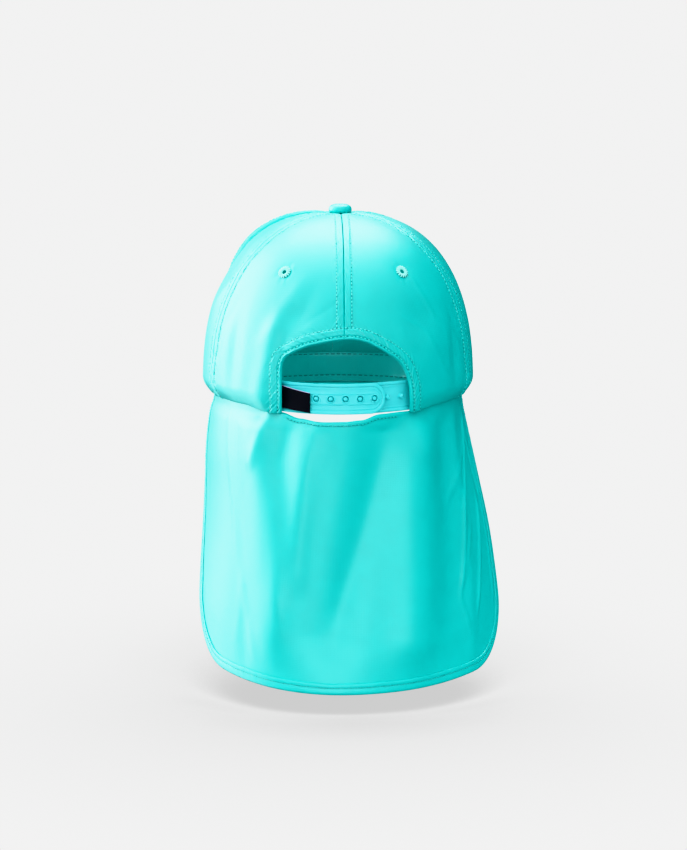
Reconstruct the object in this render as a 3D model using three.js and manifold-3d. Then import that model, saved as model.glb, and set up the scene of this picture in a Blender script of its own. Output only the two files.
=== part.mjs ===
// Six-panel beach cap with a snap strap and a neck flap, in millimetres. +Z is up and the peak
// points to -Y. The origin is the centre of the head opening, level with the crown's lower edge
// at the sides. Left (+X) and right are the wearer's. Angles round the cap start at the rear
// centre seam and grow towards the left.
import * as THREE from "three";
import { mergeVertices } from "three/addons/utils/BufferGeometryUtils.js";
import Module from "manifold-3d";

const wasm = await Module();
wasm.setup();

// Cloth and clearances
const GAP = 0.3; // left between neighbouring pieces
const PANEL_THICK = 1.4; // crown cloth with its turned seam allowance
const FLAP_THICK = 1.0;
const SWEATBAND_THICK = 1.6;

// The crown's own size. Half width and depths are taken at its widest level.
const CROWN = {
  halfWidth: 94.2,
  rearDepth: 100.5,
  frontDepth: 98,
  height: 124.5,
  lean: -1.6, // how far the top leans towards +X
  tipRadius: 3, // the panels stop this far from the middle, under the button
  tuckLevel: 12, // below this level the cloth turns in to the lower edge
  tuckSide: 6.7,
  tuckEnds: 1.6,
  droop: 35, // above this level the lower edge's dips no longer show
};
// How square the crown's outline is from the rear, the side and the front: 2 is an ellipse.
const SQUARENESS = { rear: 2.3, side: 2.45, front: 2.75 };

// The crown's lower edge, from the rear centre to the front: degrees round, and its level.
const RIM_LEVELS = [
  { around: 0, level: -3.4 },
  { around: 30, level: -3.4 },
  { around: 49, level: -0.3 },
  { around: 70, level: 0.9 },
  { around: 100, level: 0.5 },
  { around: 130, level: -4.8 },
  { around: 180, level: -5.0 },
];
// Where the seams meet the lower edge and the top, in degrees from the rear centre.
const SEAMS = {
  rear: { low: 0, top: 0 },
  side: { low: 69, top: 60 },
  templeLeft: { low: 118, top: 107 },
  templeRight: { low: 122, top: 120 },
  front: { low: 180, top: 180 },
};
// One row for each panel: its side (1 is the left), its seams, how far it swells, and how
// near that swelling lies to its first seam (1 is halfway across).
const PANELS = [
  { name: "crown_panel_rear_left", side: 1, from: SEAMS.rear, to: SEAMS.side, swell: 1.3, lead: 1 },
  { name: "crown_panel_side_left", side: 1, from: SEAMS.side, to: SEAMS.templeLeft, swell: 0.9, lead: 1 },
  { name: "crown_panel_front_left", side: 1, from: SEAMS.templeLeft, to: SEAMS.front, swell: 6.5, lead: 0.38 },
  { name: "crown_panel_rear_right", side: -1, from: SEAMS.rear, to: SEAMS.side, swell: 1.3, lead: 1 },
  { name: "crown_panel_side_right", side: -1, from: SEAMS.side, to: SEAMS.templeRight, swell: 0.9, lead: 1 },
  { name: "crown_panel_front_right", side: -1, from: SEAMS.templeRight, to: SEAMS.front, swell: 3, lead: 0.7 },
];
const PANEL_CELLS = { round: 9, up: 12, growth: 1.7 };

// Soft dents in the crown: where, how far they spread each way, and how deep they are.
const CROWN_DENTS = [
  { around: 22, level: 60, spreadRound: 16, spreadUp: 8, depth: 1.6 },
  { around: 52, level: 34, spreadRound: 7, spreadUp: 26, depth: 1.8 },
  { around: 88, level: 88, spreadRound: 24, spreadUp: 16, depth: 3.2 },
  { around: 138, level: 117, spreadRound: 34, spreadUp: 8, depth: 6.5 },
  { around: -36, level: 58, spreadRound: 18, spreadUp: 12, depth: 1.8 },
  { around: -56, level: 30, spreadRound: 6, spreadUp: 22, depth: 1.4 },
  { around: -100, level: 60, spreadRound: 12, spreadUp: 18, depth: 1.4 },
];

// The opening's outline seen from the rear, as [x, z], from its left foot over the top to its
// right foot. Its left shoulder is tight and its right one slopes.
const ARCH = [
  [41.6, -4],
  [41.6, 10],
  [41.5, 22],
  [41.0, 29.6],
  [38.9, 34.3],
  [35.0, 37.0],
  [24.3, 41.9],
  [14.0, 44.4],
  [6.2, 45.8],
  [0, 46.5],
  [-5.8, 46.5],
  [-11.5, 45.6],
  [-17.7, 43.4],
  [-28.4, 37.4],
  [-37.4, 30.4],
  [-41.6, 23.1],
  [-44.0, 15.1],
  [-44.7, 6],
  [-44.9, -4],
].map(([x, z]) => new THREE.Vector2(x, z));

// Stitched air holes: the ring and where it lies, in degrees round and millimetres up.
const EYELET = { outerRadius: 4.3, holeRadius: 1.3, thick: 2.2 };
const EYELETS = [
  { name: "eyelet_rear_left", panel: "crown_panel_rear_left", around: 32, level: 88 },
  { name: "eyelet_rear_right", panel: "crown_panel_rear_right", around: -32, level: 88 },
];

const BUTTON = { radius: 7.9, height: 5.4, lift: 0.5 };
const SWEATBAND = { inset: 3.7, low: 0.3, high: 21.6, endAngle: 41.5 };

const PEAK = {
  length: 70,
  thick: 3.2,
  spread: 62, // degrees each side of the front centre where it meets the crown
  inset: 2.7, // how far its rear edge goes in under the crown's lower edge
  fallAngle: 10,
  sideDroop: 17,
};

// The two halves of the snap strap lie on arcs about one centre. Places along it are measured
// from the rear centre, to the right.
const STRAP = {
  radius: 76, // the outer face of the half with holes
  inset: 2.6, // from the crown's lower rear edge to that face
  low: -1.5, // its lower edge where the strap enters the crown
  width: 20.2,
  sag: 1.3, // how much lower its middle hangs
  thick: 1.5,
  bead: 0.35, // height of the raised border
  beadWidth: 1.3,
  pitch: 9.8,
  middle: 1.0, // the hole nearest the centre, along the strap
  holeRadius: 2,
  pegRadius: 1.5,
  pegRise: 2.5,
  tuckedEnd: 53, // where both halves end inside the crown, along the arc
  endBeyondHole: 7.7, // from the last hole or peg to the rounded end
};
const HOLES = { first: -4, last: 2 };
const PEGS = { first: -2, last: 4 };

// The label hangs askew: its levels are given where it is sewn in and at its free end.
const LABEL = {
  thick: 1.0,
  start: -43.6, // along the strap
  length: 21.3,
  lowStart: 1.4,
  highStart: 16.4,
  lowEnd: -0.9,
  highEnd: 12.5,
};

// The neck flap as cut: half its span, its drop, and its rounded lower corners.
const FLAP = {
  halfSpan: 165,
  drop: 191,
  cornerRadius: 44,
  hemRiseLeft: 16, // how much higher the hem is at the front edges than at the rear
  hemRiseRight: 12,
  rowGrowth: 1.24, // the rows lie closer together near the crown
};
const FLAP_CELLS = { round: 38, down: 14 };
// The flap's upper edge: inside the crown, under the strap's ends, and open below the strap.
// One row for each turn: the distance round from the rear centre, and the level.
const FLAP_TOP = [
  { round: -165, z: 6 },
  { round: -76, z: 6 },
  { round: -67.5, z: -2.6 },
  { round: -48, z: -2.6 },
  { round: -30, z: -3.2 },
  { round: -14, z: -6.7 },
  { round: 0, z: -7.6 },
  { round: 18, z: -7.9 },
  { round: 34, z: -5.9 },
  { round: 50, z: -2.6 },
  { round: 62, z: -2.6 },
  { round: 70, z: 6 },
  { round: 165, z: 6 },
];
// One row for each level of the hanging flap: half widths, the rear, the middle, and the
// angles that it wraps to on each side.
const FLAP_SECTIONS = [
  { z: 6, left: 85.3, right: 85.3, rear: 96.2, middle: 0, wrapLeft: 97, wrapRight: 94 },
  { z: -4, left: 85.3, right: 85.3, rear: 96.2, middle: 0, wrapLeft: 96, wrapRight: 91 },
  { z: -13, left: 88.0, right: 86.6, rear: 98.4, middle: -1, wrapLeft: 94, wrapRight: 88 },
  { z: -35, left: 90.8, right: 92.0, rear: 100.4, middle: -3, wrapLeft: 91, wrapRight: 82.5 },
  { z: -62, left: 92.3, right: 99.2, rear: 101.0, middle: -6, wrapLeft: 86, wrapRight: 78 },
  { z: -90, left: 94.7, right: 106.8, rear: 100.4, middle: -8, wrapLeft: 81, wrapRight: 74.5 },
  { z: -118, left: 98.3, right: 113.0, rear: 99.4, middle: -10, wrapLeft: 76, wrapRight: 71.5 },
  { z: -150, left: 102.2, right: 119.1, rear: 98.6, middle: -12, wrapLeft: 71, wrapRight: 68 },
  { z: -192, left: 103.7, right: 121.9, rear: 98.2, middle: -12, wrapLeft: 70, wrapRight: 67 },
];
// One row for each fold: a line along the flap from its upper to its lower end, with the
// distance round from the rear centre, and its half width and height. Hollows are negative.
const FLAP_FOLDS = [
  { topRound: 68, topZ: -14, lowRound: 66, lowZ: -150, spread: 19, height: 4.2 },
  { topRound: 44, topZ: -8, lowRound: 53, lowZ: -38, spread: 11, height: -2.8 },
  { topRound: 20, topZ: -18, lowRound: 54, lowZ: -128, spread: 13, height: 2.2 },
  { topRound: -36, topZ: -16, lowRound: 10, lowZ: -152, spread: 23, height: -4 },
  { topRound: -64, topZ: -32, lowRound: -58, lowZ: -154, spread: 20, height: 7.2 },
  { topRound: -96, topZ: -14, lowRound: -92, lowZ: -130, spread: 12, height: -1.6 },
  { topRound: -114, topZ: -10, lowRound: -116, lowZ: -160, spread: 8, height: 1.2 },
];
const FOLD_FADE = 22; // how far past its ends a fold dies away

const BINDING = { width: 7.0, wall: 1, reach: 1.4, clearance: 0.55 };

const CLOTH = new THREE.Color("#12d3d1");
const DEEP_CLOTH = new THREE.Color("#0fb4b4");
const STRAP_COLOUR = new THREE.Color("#3fc9cd");
const LABEL_COLOUR = new THREE.Color("#101114");

const smooth = THREE.MathUtils.smoothstep;
const lerp = THREE.MathUtils.lerp;
const radians = THREE.MathUtils.degToRad;
const gaussian = (distance, spread) => Math.exp(-((distance / spread) ** 2));

// General solids

// A closed wall. pointAt gives the points of its two faces from 0 to 1 each way.
function wallGeometry(columns, rows, pointAt) {
  const perFace = (columns + 1) * (rows + 1);
  const at = (face, i, j) => face * perFace + j * (columns + 1) + i;
  const positions = [];
  for (const face of [0, 1])
    for (let j = 0; j <= rows; j++)
      for (let i = 0; i <= columns; i++)
        positions.push(...pointAt(i / columns, j / rows, face).toArray());
  const index = [];
  const quad = (a, b, c, d) => index.push(a, b, c, a, c, d);
  for (let j = 0; j < rows; j++)
    for (let i = 0; i < columns; i++) {
      quad(at(0, i, j), at(0, i + 1, j), at(0, i + 1, j + 1), at(0, i, j + 1));
      quad(at(1, i, j), at(1, i, j + 1), at(1, i + 1, j + 1), at(1, i + 1, j));
    }
  for (let i = 0; i < columns; i++) {
    quad(at(0, i, 0), at(1, i, 0), at(1, i + 1, 0), at(0, i + 1, 0));
    quad(at(0, i, rows), at(0, i + 1, rows), at(1, i + 1, rows), at(1, i, rows));
  }
  for (let j = 0; j < rows; j++) {
    quad(at(0, 0, j), at(0, 0, j + 1), at(1, 0, j + 1), at(1, 0, j));
    quad(at(0, columns, j), at(1, columns, j), at(1, columns, j + 1), at(0, columns, j + 1));
  }
  const geometry = new THREE.BufferGeometry();
  geometry.setAttribute("position", new THREE.Float32BufferAttribute(positions, 3));
  geometry.setIndex(index);
  return facingOut(geometry);
}

// Turns a closed indexed geometry's faces outwards if they point inwards.
function facingOut(geometry) {
  const position = geometry.getAttribute("position");
  const index = geometry.index.array;
  const [a, b, c] = [new THREE.Vector3(), new THREE.Vector3(), new THREE.Vector3()];
  let volume = 0;
  for (let i = 0; i < index.length; i += 3) {
    a.fromBufferAttribute(position, index[i]);
    b.fromBufferAttribute(position, index[i + 1]);
    c.fromBufferAttribute(position, index[i + 2]);
    volume += a.dot(b.cross(c));
  }
  if (volume < 0)
    for (let i = 0; i < index.length; i += 3)
      [index[i + 1], index[i + 2]] = [index[i + 2], index[i + 1]];
  geometry.computeVertexNormals();
  return geometry;
}

// A geometry as a solid for booleans, moved by a matrix if one is given.
function solidOf(geometry, matrix = new THREE.Matrix4()) {
  const bare = geometry.clone().applyMatrix4(matrix);
  for (const name of Object.keys(bare.attributes)) if (name !== "position") bare.deleteAttribute(name);
  const merged = mergeVertices(bare, 1e-4);
  return new wasm.Manifold(
    new wasm.Mesh({
      numProp: 3,
      vertProperties: merged.attributes.position.array,
      triVerts: new Uint32Array(merged.index.array),
    }),
  );
}

function geometryOf(solid) {
  const mesh = solid.getMesh();
  const geometry = new THREE.BufferGeometry();
  geometry.setAttribute("position", new THREE.BufferAttribute(mesh.vertProperties, 3));
  geometry.setIndex(new THREE.BufferAttribute(mesh.triVerts, 1));
  geometry.computeVertexNormals();
  return geometry;
}

// The turn and place that put a shape's +Y along a direction at a point.
function standOn(point, direction) {
  const turn = new THREE.Quaternion().setFromUnitVectors(new THREE.Vector3(0, 1, 0), direction);
  return new THREE.Matrix4().compose(point, turn, new THREE.Vector3(1, 1, 1));
}

// The crown

const seamAt = (seam, climb) => lerp(seam.low, seam.top, Math.sin(climb) ** 2);

// The panel at an angle in degrees, and how far across it that angle is from 0 to 1.
function panelAt(degrees, climb) {
  const side = Math.sign(degrees) || 1;
  const around = Math.min(Math.abs(degrees), SEAMS.front.low);
  const panel = PANELS.find((row) => row.side === side && around <= seamAt(row.to, climb));
  const from = seamAt(panel.from, climb);
  return { panel, across: (around - from) / (seamAt(panel.to, climb) - from) };
}

// The value of a table's column at a place along it, eased between its rows.
function tableValue(rows, key, column, place) {
  const next = rows.findIndex((row) => row[key] >= place);
  if (next <= 0) return rows[next === 0 ? 0 : rows.length - 1][column];
  const [before, after] = [rows[next - 1], rows[next]];
  return lerp(before[column], after[column], smooth(place, before[key], after[key]));
}

const rimLevel = (degrees) => tableValue(RIM_LEVELS, "around", "level", Math.min(Math.abs(degrees), 180));

function crownSquareness(angle) {
  const facing = Math.cos(angle);
  const end = facing > 0 ? SQUARENESS.rear : SQUARENESS.front;
  return lerp(SQUARENESS.side, end, Math.abs(facing));
}

// How far dents push the crown in at an angle, in degrees, and a level.
function dentDepth(degrees, level) {
  const dentAt = (dent) => {
    const round = radians(degrees - dent.around) * CROWN.halfWidth;
    return dent.depth * gaussian(round, dent.spreadRound) * gaussian(level - dent.level, dent.spreadUp);
  };
  return CROWN_DENTS.reduce((sum, dent) => sum + dentAt(dent), 0);
}

// The crown's outer face. Climb runs from 0 at the lower edge to a right angle at the top.
function crownPoint(angle, climb) {
  const degrees = THREE.MathUtils.radToDeg(angle);
  const power = 2 / crownSquareness(angle);
  const level = CROWN.height * Math.sin(climb) ** power;
  const shrink = Math.max(Math.cos(climb), 0) ** power;
  const { panel, across } = panelAt(degrees, climb);
  const swell = panel.swell * Math.sin(Math.PI * across ** panel.lead) * Math.sin(2 * climb) ** 1.2;
  const turnIn = Math.max(1 - level / CROWN.tuckLevel, 0) ** 2;
  const depth = Math.cos(angle) > 0 ? CROWN.rearDepth : CROWN.frontDepth;
  const point = new THREE.Vector3(
    (CROWN.halfWidth * shrink - CROWN.tuckSide * turnIn) * Math.sin(angle),
    (depth * shrink - CROWN.tuckEnds * turnIn) * Math.cos(angle),
    level + rimLevel(degrees) * Math.max(1 - level / CROWN.droop, 0) ** 2,
  );
  const outward = new THREE.Vector3(point.x, point.y, 0).normalize();
  const lift = new THREE.Vector3(outward.x * shrink, outward.y * shrink, Math.sin(climb)).normalize();
  point.addScaledVector(lift, swell);
  point.addScaledVector(outward, -dentDepth(degrees, level));
  point.x += CROWN.lean * (level / CROWN.height) ** 2;
  return point;
}

// The outward normal there, from points close by that stay inside one panel.
function crownNormal(angle, climb, panel) {
  const step = 0.002;
  const middle = panel.side * radians((seamAt(panel.from, climb) + seamAt(panel.to, climb)) / 2);
  const inward = Math.sign(middle - angle) || 1;
  const here = crownPoint(angle, climb);
  const beside = crownPoint(angle + inward * step, climb).sub(here).multiplyScalar(inward);
  const above = crownPoint(angle, climb + step).sub(here);
  return above.cross(beside).normalize();
}

// The climb at which the crown reaches a level.
function climbTo(angle, level) {
  return Math.asin((level / CROWN.height) ** (crownSquareness(angle) / 2));
}

// One panel's wall between its seams. Half the gap is left at each seam.
function panelGeometry(panel) {
  const { round, up, growth } = PANEL_CELLS;
  return wallGeometry(round, up, (u, v, face) => {
    const low = radians(lerp(panel.from.low, panel.to.low, u));
    const power = 2 / crownSquareness(low);
    const topClimb = Math.acos((CROWN.tipRadius / CROWN.halfWidth) ** (1 / power));
    const climb = topClimb * v ** growth;
    const nominal = radians(lerp(seamAt(panel.from, climb), seamAt(panel.to, climb), u));
    const radius = CROWN.halfWidth * Math.cos(climb) ** power;
    const angle = panel.side * (nominal + (GAP / 2 / radius) * (1 - 2 * u));
    const point = crownPoint(angle, climb);
    return face ? point.addScaledVector(crownNormal(angle, climb, panel), -PANEL_THICK) : point;
  });
}

// A smooth line through points: each stretch is a cubic that leaves its ends with the slope
// of the chord between their neighbours.
function smoothLine(points, steps) {
  const runs = [0];
  for (let i = 1; i < points.length; i++) runs.push(runs[i - 1] + points[i].distanceTo(points[i - 1]));
  const slopes = points.map((_, i) => {
    const before = Math.max(i - 1, 0);
    const after = Math.min(i + 1, points.length - 1);
    return points[after].clone().sub(points[before]).divideScalar(runs[after] - runs[before]);
  });
  const line = [points[0].clone()];
  for (let i = 1; i < points.length; i++) {
    const span = runs[i] - runs[i - 1];
    for (let k = 1; k <= steps; k++) {
      const t = k / steps;
      const point = points[i - 1].clone().multiplyScalar(2 * t ** 3 - 3 * t ** 2 + 1);
      point.addScaledVector(slopes[i - 1], (t ** 3 - 2 * t ** 2 + t) * span);
      point.addScaledVector(points[i], 3 * t ** 2 - 2 * t ** 3);
      point.addScaledVector(slopes[i], (t ** 3 - t ** 2) * span);
      line.push(point);
    }
  }
  return line;
}

// The opening as a solid that runs through the rear of the crown.
function archCutter() {
  const below = -20;
  const depth = 80;
  const line = smoothLine(ARCH, 2);
  const corners = [
    new THREE.Vector2(ARCH[ARCH.length - 1].x, below),
    new THREE.Vector2(ARCH[0].x, below),
  ];
  const outline = new THREE.Shape([...corners, ...line]);
  const block = new THREE.ExtrudeGeometry(outline, { depth, bevelEnabled: false });
  // The outline's own up becomes +Z and its depth runs to -Y, from outside the crown.
  const place = new THREE.Matrix4().makeRotationX(Math.PI / 2).setPosition(0, CROWN.rearDepth + 20, 0);
  return solidOf(block, place);
}

function eyeletPlace(eyelet) {
  const panel = PANELS.find(({ name }) => name === eyelet.panel);
  const angle = radians(eyelet.around);
  const climb = climbTo(angle, eyelet.level);
  const normal = crownNormal(angle, climb, panel);
  const middle = crownPoint(angle, climb).addScaledVector(normal, -PANEL_THICK / 2);
  return standOn(middle, normal);
}

function eyeletHole(eyelet) {
  const hole = new THREE.CylinderGeometry(EYELET.outerRadius + GAP, EYELET.outerRadius + GAP, 12, 16);
  return solidOf(hole, eyeletPlace(eyelet));
}

// A stitched ring with a soft outer edge.
function eyeletGeometry() {
  const half = EYELET.thick / 2;
  const soft = 0.7;
  const profile = [
    [EYELET.holeRadius, -half],
    [EYELET.outerRadius - soft, -half],
    [EYELET.outerRadius, 0],
    [EYELET.outerRadius - soft, half],
    [EYELET.holeRadius + soft / 2, half],
    [EYELET.holeRadius, half - soft / 2],
    [EYELET.holeRadius, -half],
  ].map(([radius, height]) => new THREE.Vector2(radius, height));
  return new THREE.LatheGeometry(profile, 16);
}

function crownPanelGeometry(panel) {
  let solid = solidOf(panelGeometry(panel));
  if (panel.name.includes("rear")) solid = solid.subtract(archCutter());
  for (const eyelet of EYELETS) if (eyelet.panel === panel.name) solid = solid.subtract(eyeletHole(eyelet));
  return geometryOf(solid);
}

// A domed, cloth-covered button with an undercut edge.
function buttonGeometry() {
  const { radius, height } = BUTTON;
  const profile = [
    [0, 0],
    [radius * 0.86, 0],
    [radius, height * 0.22],
    [radius, height * 0.42],
    [radius * 0.9, height * 0.68],
    [radius * 0.66, height * 0.88],
    [radius * 0.34, height * 0.98],
    [0, height],
  ].map(([x, y]) => new THREE.Vector2(x, y));
  return new THREE.LatheGeometry(profile, 24);
}

// The crown's lower edge in plan, moved in by an inset.
function rimPoint(angle, inset, z) {
  const end = Math.cos(angle) > 0 ? CROWN.rearDepth : CROWN.frontDepth;
  return new THREE.Vector3(
    (CROWN.halfWidth - CROWN.tuckSide - inset) * Math.sin(angle),
    (end - CROWN.tuckEnds - inset) * Math.cos(angle),
    z,
  );
}

// A band inside the lower edge, from one side of the opening round the front to the other.
function sweatbandGeometry() {
  const { inset, low, high, endAngle } = SWEATBAND;
  return wallGeometry(44, 1, (u, v, face) => {
    const degrees = lerp(endAngle, 360 - endAngle, u);
    const level = rimLevel(Math.min(degrees, 360 - degrees)) + lerp(low, high, v);
    return rimPoint(radians(degrees), inset + face * SWEATBAND_THICK, level);
  });
}

// The peak

// The peak's top face, from its edge under the crown out to its free edge.
function peakTop(across, outward) {
  const share = Math.abs(lerp(-1, 1, across));
  const turn = radians(lerp(-PEAK.spread, PEAK.spread, across));
  const root = rimPoint(Math.PI - turn, PEAK.inset, rimLevel(180 - PEAK.spread * share) - GAP);
  const length = (PEAK.length + PEAK.inset) * (1 - share ** 2.6) ** 0.75 + PEAK.inset;
  const aside = new THREE.Vector2(0.62 * Math.sin(turn), -1).normalize();
  const run = length * outward;
  const point = new THREE.Vector3(root.x + aside.x * run, root.y + aside.y * run, root.z);
  const sideways = (point.x / CROWN.halfWidth) ** 2;
  const clear = Math.max(run - PEAK.inset, 0);
  point.z -= clear * Math.tan(radians(PEAK.fallAngle));
  point.z -= PEAK.sideDroop * sideways * (1 - (1 - outward) ** 1.6) * Math.min(clear / 12, 1);
  return point;
}

function peakGeometry() {
  return wallGeometry(24, 5, (u, v, face) => {
    const point = peakTop(u, v);
    point.z -= face * PEAK.thick;
    return point;
  });
}

// The snap strap

// A point of the strap: distance along it to the right, height, and distance out from the
// outer face of the half with holes.
function strapPoint(along, height, out) {
  const angle = along / STRAP.radius;
  const centreY = CROWN.rearDepth - CROWN.tuckEnds - STRAP.inset - STRAP.radius;
  const radius = STRAP.radius + out;
  const sag = STRAP.sag * Math.max(1 - (along / STRAP.tuckedEnd) ** 2, 0);
  return new THREE.Vector3(-radius * Math.sin(angle), centreY + radius * Math.cos(angle), height - sag);
}

const holeAlong = (number) => STRAP.middle + number * STRAP.pitch;

// One half: a wall with a raised border and a rounded end. Out gives its outer face, and
// end is the tip of the rounded end, on the side that it points to.
function strapHalfGeometry(tucked, end, out) {
  const middle = STRAP.low + STRAP.width / 2;
  const half = STRAP.width / 2;
  const toEnd = Math.sign(end - tucked);
  const border = STRAP.beadWidth;
  // Heights over the section as shares of the half width, and whether the border is raised.
  const section = [
    { side: -1, inset: 0, raised: true },
    { side: -1, inset: border, raised: true },
    { side: -1, inset: border + 0.4, raised: false },
    { side: 1, inset: border + 0.4, raised: false },
    { side: 1, inset: border, raised: true },
    { side: 1, inset: 0, raised: true },
  ];
  const straight = 17;
  const rounded = 7;
  const columns = straight + rounded;
  return wallGeometry(columns, section.length - 1, (u, v, face) => {
    const column = Math.round(u * columns);
    const turnStart = end - toEnd * half;
    const turn = (Math.max(column - straight, 0) / rounded) * radians(78);
    const along =
      column <= straight ? lerp(tucked, turnStart, column / straight) : turnStart + toEnd * half * Math.sin(turn);
    const reach = half * Math.cos(turn);
    const { side, inset, raised } = section[Math.round(v * (section.length - 1))];
    const height = middle + side * Math.max(reach - inset, 0.2 * reach);
    const sunk = face ? STRAP.thick : raised ? 0 : STRAP.bead;
    return strapPoint(along, height, out(along) - sunk);
  });
}

// A post along the strap's own normal, used for holes and for pegs.
function strapPost(along, radius, outFrom, outTo, sides) {
  const middle = STRAP.low + STRAP.width / 2;
  const from = strapPoint(along, middle, outFrom);
  const to = strapPoint(along, middle, outTo);
  const post = new THREE.CylinderGeometry(radius, radius, from.distanceTo(to), sides);
  const direction = to.clone().sub(from).normalize();
  return solidOf(post, standOn(from.add(to).multiplyScalar(0.5), direction));
}

function holeStrapGeometry() {
  const tip = holeAlong(HOLES.last) + STRAP.endBeyondHole;
  let solid = solidOf(strapHalfGeometry(-STRAP.tuckedEnd, tip, () => 0));
  for (let number = HOLES.first; number <= HOLES.last; number++)
    solid = solid.subtract(strapPost(holeAlong(number), STRAP.holeRadius, -4, 4, 14));
  return geometryOf(solid);
}

// The half with pegs lies behind the other, and comes level with it past the other's tip.
function pegStrapGeometry() {
  const behind = -STRAP.thick - GAP;
  const levelFrom = holeAlong(HOLES.last) + STRAP.endBeyondHole + 1;
  const out = (along) => behind * (1 - smooth(along, levelFrom, STRAP.tuckedEnd - 6));
  const tip = holeAlong(PEGS.first) - STRAP.endBeyondHole;
  let solid = solidOf(strapHalfGeometry(STRAP.tuckedEnd, tip, out));
  for (let number = PEGS.first; number <= PEGS.last; number++) {
    const face = out(holeAlong(number)) - STRAP.bead;
    const post = strapPost(holeAlong(number), STRAP.pegRadius, face - 0.5, face + STRAP.pegRise, 12);
    solid = solid.add(post);
  }
  return geometryOf(solid);
}

// A short cloth tag that lies on the strap's end and droops towards its free end.
function labelGeometry() {
  return wallGeometry(6, 2, (u, v, face) => {
    const low = lerp(LABEL.lowStart, LABEL.lowEnd, u);
    const high = lerp(LABEL.highStart, LABEL.highEnd, u);
    const out = GAP + (face ? 0 : LABEL.thick);
    return strapPoint(LABEL.start + LABEL.length * u, lerp(low, high, v), out);
  });
}

// The neck flap

// The section table at a level, with each column eased between its rows.
function flapSection(z) {
  const rows = FLAP_SECTIONS;
  const after = Math.max(
    1,
    rows.findIndex((row) => row.z <= z),
  );
  const upper = rows[after - 1];
  const lower = rows[after];
  const share = THREE.MathUtils.clamp((upper.z - z) / (upper.z - lower.z), 0, 1);
  const before = rows[Math.max(after - 2, 0)];
  const beyond = rows[Math.min(after + 1, rows.length - 1)];
  const eased = (column) => {
    const slopeIn = (lower[column] - before[column]) / (before.z - lower.z || 1);
    const slopeOut = (beyond[column] - upper[column]) / (upper.z - beyond.z || 1);
    const span = upper.z - lower.z;
    const s2 = share * share;
    const s3 = s2 * share;
    return (
      (2 * s3 - 3 * s2 + 1) * upper[column] +
      (s3 - 2 * s2 + share) * span * slopeIn +
      (3 * s2 - 2 * s3) * lower[column] +
      (s3 - s2) * span * slopeOut
    );
  };
  return Object.fromEntries(Object.keys(upper).map((column) => [column, eased(column)]));
}

function flapHemLevel(round) {
  const rise = round > 0 ? FLAP.hemRiseLeft : FLAP.hemRiseRight;
  return -FLAP.drop + rise * (round / FLAP.halfSpan) ** 2;
}

function foldHeight(round, z) {
  const foldAt = (fold) => {
    const share = (fold.topZ - z) / (fold.topZ - fold.lowZ);
    const past = Math.max(z - fold.topZ, fold.lowZ - z, 0);
    const line = lerp(fold.topRound, fold.lowRound, THREE.MathUtils.clamp(share, 0, 1));
    const edge = smooth(-z, 4, 16);
    return fold.height * gaussian(round - line, fold.spread) * gaussian(past, FOLD_FADE) * edge;
  };
  return FLAP_FOLDS.reduce((sum, fold) => sum + foldAt(fold), 0);
}

// The flap's middle surface without its folds: distance round and drop, both as cut.
function flapBase(round, drop) {
  const top = tableValue(FLAP_TOP, "round", "z", round);
  const z = lerp(top, flapHemLevel(round), drop / FLAP.drop);
  const section = flapSection(z);
  const toLeft = round > 0;
  const wrap = radians(toLeft ? section.wrapLeft : section.wrapRight);
  const angle = (round / FLAP.halfSpan) * wrap;
  const halfWidth = toLeft ? section.left : section.right;
  const depth = section.rear - section.middle;
  return new THREE.Vector3(halfWidth * Math.sin(angle), section.middle + depth * Math.cos(angle), z);
}

function flapNormal(round, drop) {
  const step = 0.5;
  const down = Math.min(drop, FLAP.drop - step);
  const aside = flapBase(round + step, down).sub(flapBase(round - step, down));
  const below = flapBase(round, down + step).sub(flapBase(round, down));
  return aside.cross(below).normalize();
}

// A point of the flap, moved out from its middle surface by a height.
function flapPoint(round, drop, height) {
  const base = flapBase(round, drop);
  return base.addScaledVector(flapNormal(round, drop), foldHeight(round, base.z) + height);
}

// The cut outline's lower corners are round: a square corner's cells are drawn onto a disc.
function flapCut(u, v) {
  const radius = FLAP.cornerRadius;
  const wide = u * FLAP.halfSpan;
  const down = v ** FLAP.rowGrowth * FLAP.drop;
  const p = (Math.abs(wide) - (FLAP.halfSpan - radius)) / radius;
  const q = (down - (FLAP.drop - radius)) / radius;
  if (p <= 0 || q <= 0) return [wide, down];
  const round = FLAP.halfSpan - radius + radius * p * Math.sqrt(1 - (q * q) / 2);
  return [Math.sign(wide) * round, FLAP.drop - radius + radius * q * Math.sqrt(1 - (p * p) / 2)];
}

function flapGeometry() {
  return wallGeometry(FLAP_CELLS.round, FLAP_CELLS.down, (u, v, face) => {
    const [round, drop] = flapCut(lerp(-1, 1, u), v);
    return flapPoint(round, drop, face ? -FLAP_THICK / 2 : FLAP_THICK / 2);
  });
}

// The bound edge, from the left front edge round the hem to the right one: places on the
// cut outline, each with the way in from the edge.
function bindingStations() {
  const { halfSpan, drop, cornerRadius } = FLAP;
  const half = [];
  for (let i = 1; i <= FLAP_CELLS.down; i++) half.push(flapCut(1, i / FLAP_CELLS.down));
  for (let i = FLAP_CELLS.round - 1; i >= FLAP_CELLS.round / 2; i--)
    half.push(flapCut((2 * i) / FLAP_CELLS.round - 1, 1));
  const stations = half.map(([round, down]) => {
    const centre = new THREE.Vector2(
      Math.min(round, halfSpan - cornerRadius),
      Math.min(down, drop - cornerRadius),
    );
    const inward = centre.sub(new THREE.Vector2(round, down)).normalize();
    return { round, drop: down, inRound: inward.x, inDrop: inward.y };
  });
  const mirrored = stations
    .slice(0, -1)
    .reverse()
    .map((station) => ({ ...station, round: -station.round, inRound: -station.inRound }));
  return [...stations, ...mirrored];
}

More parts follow.
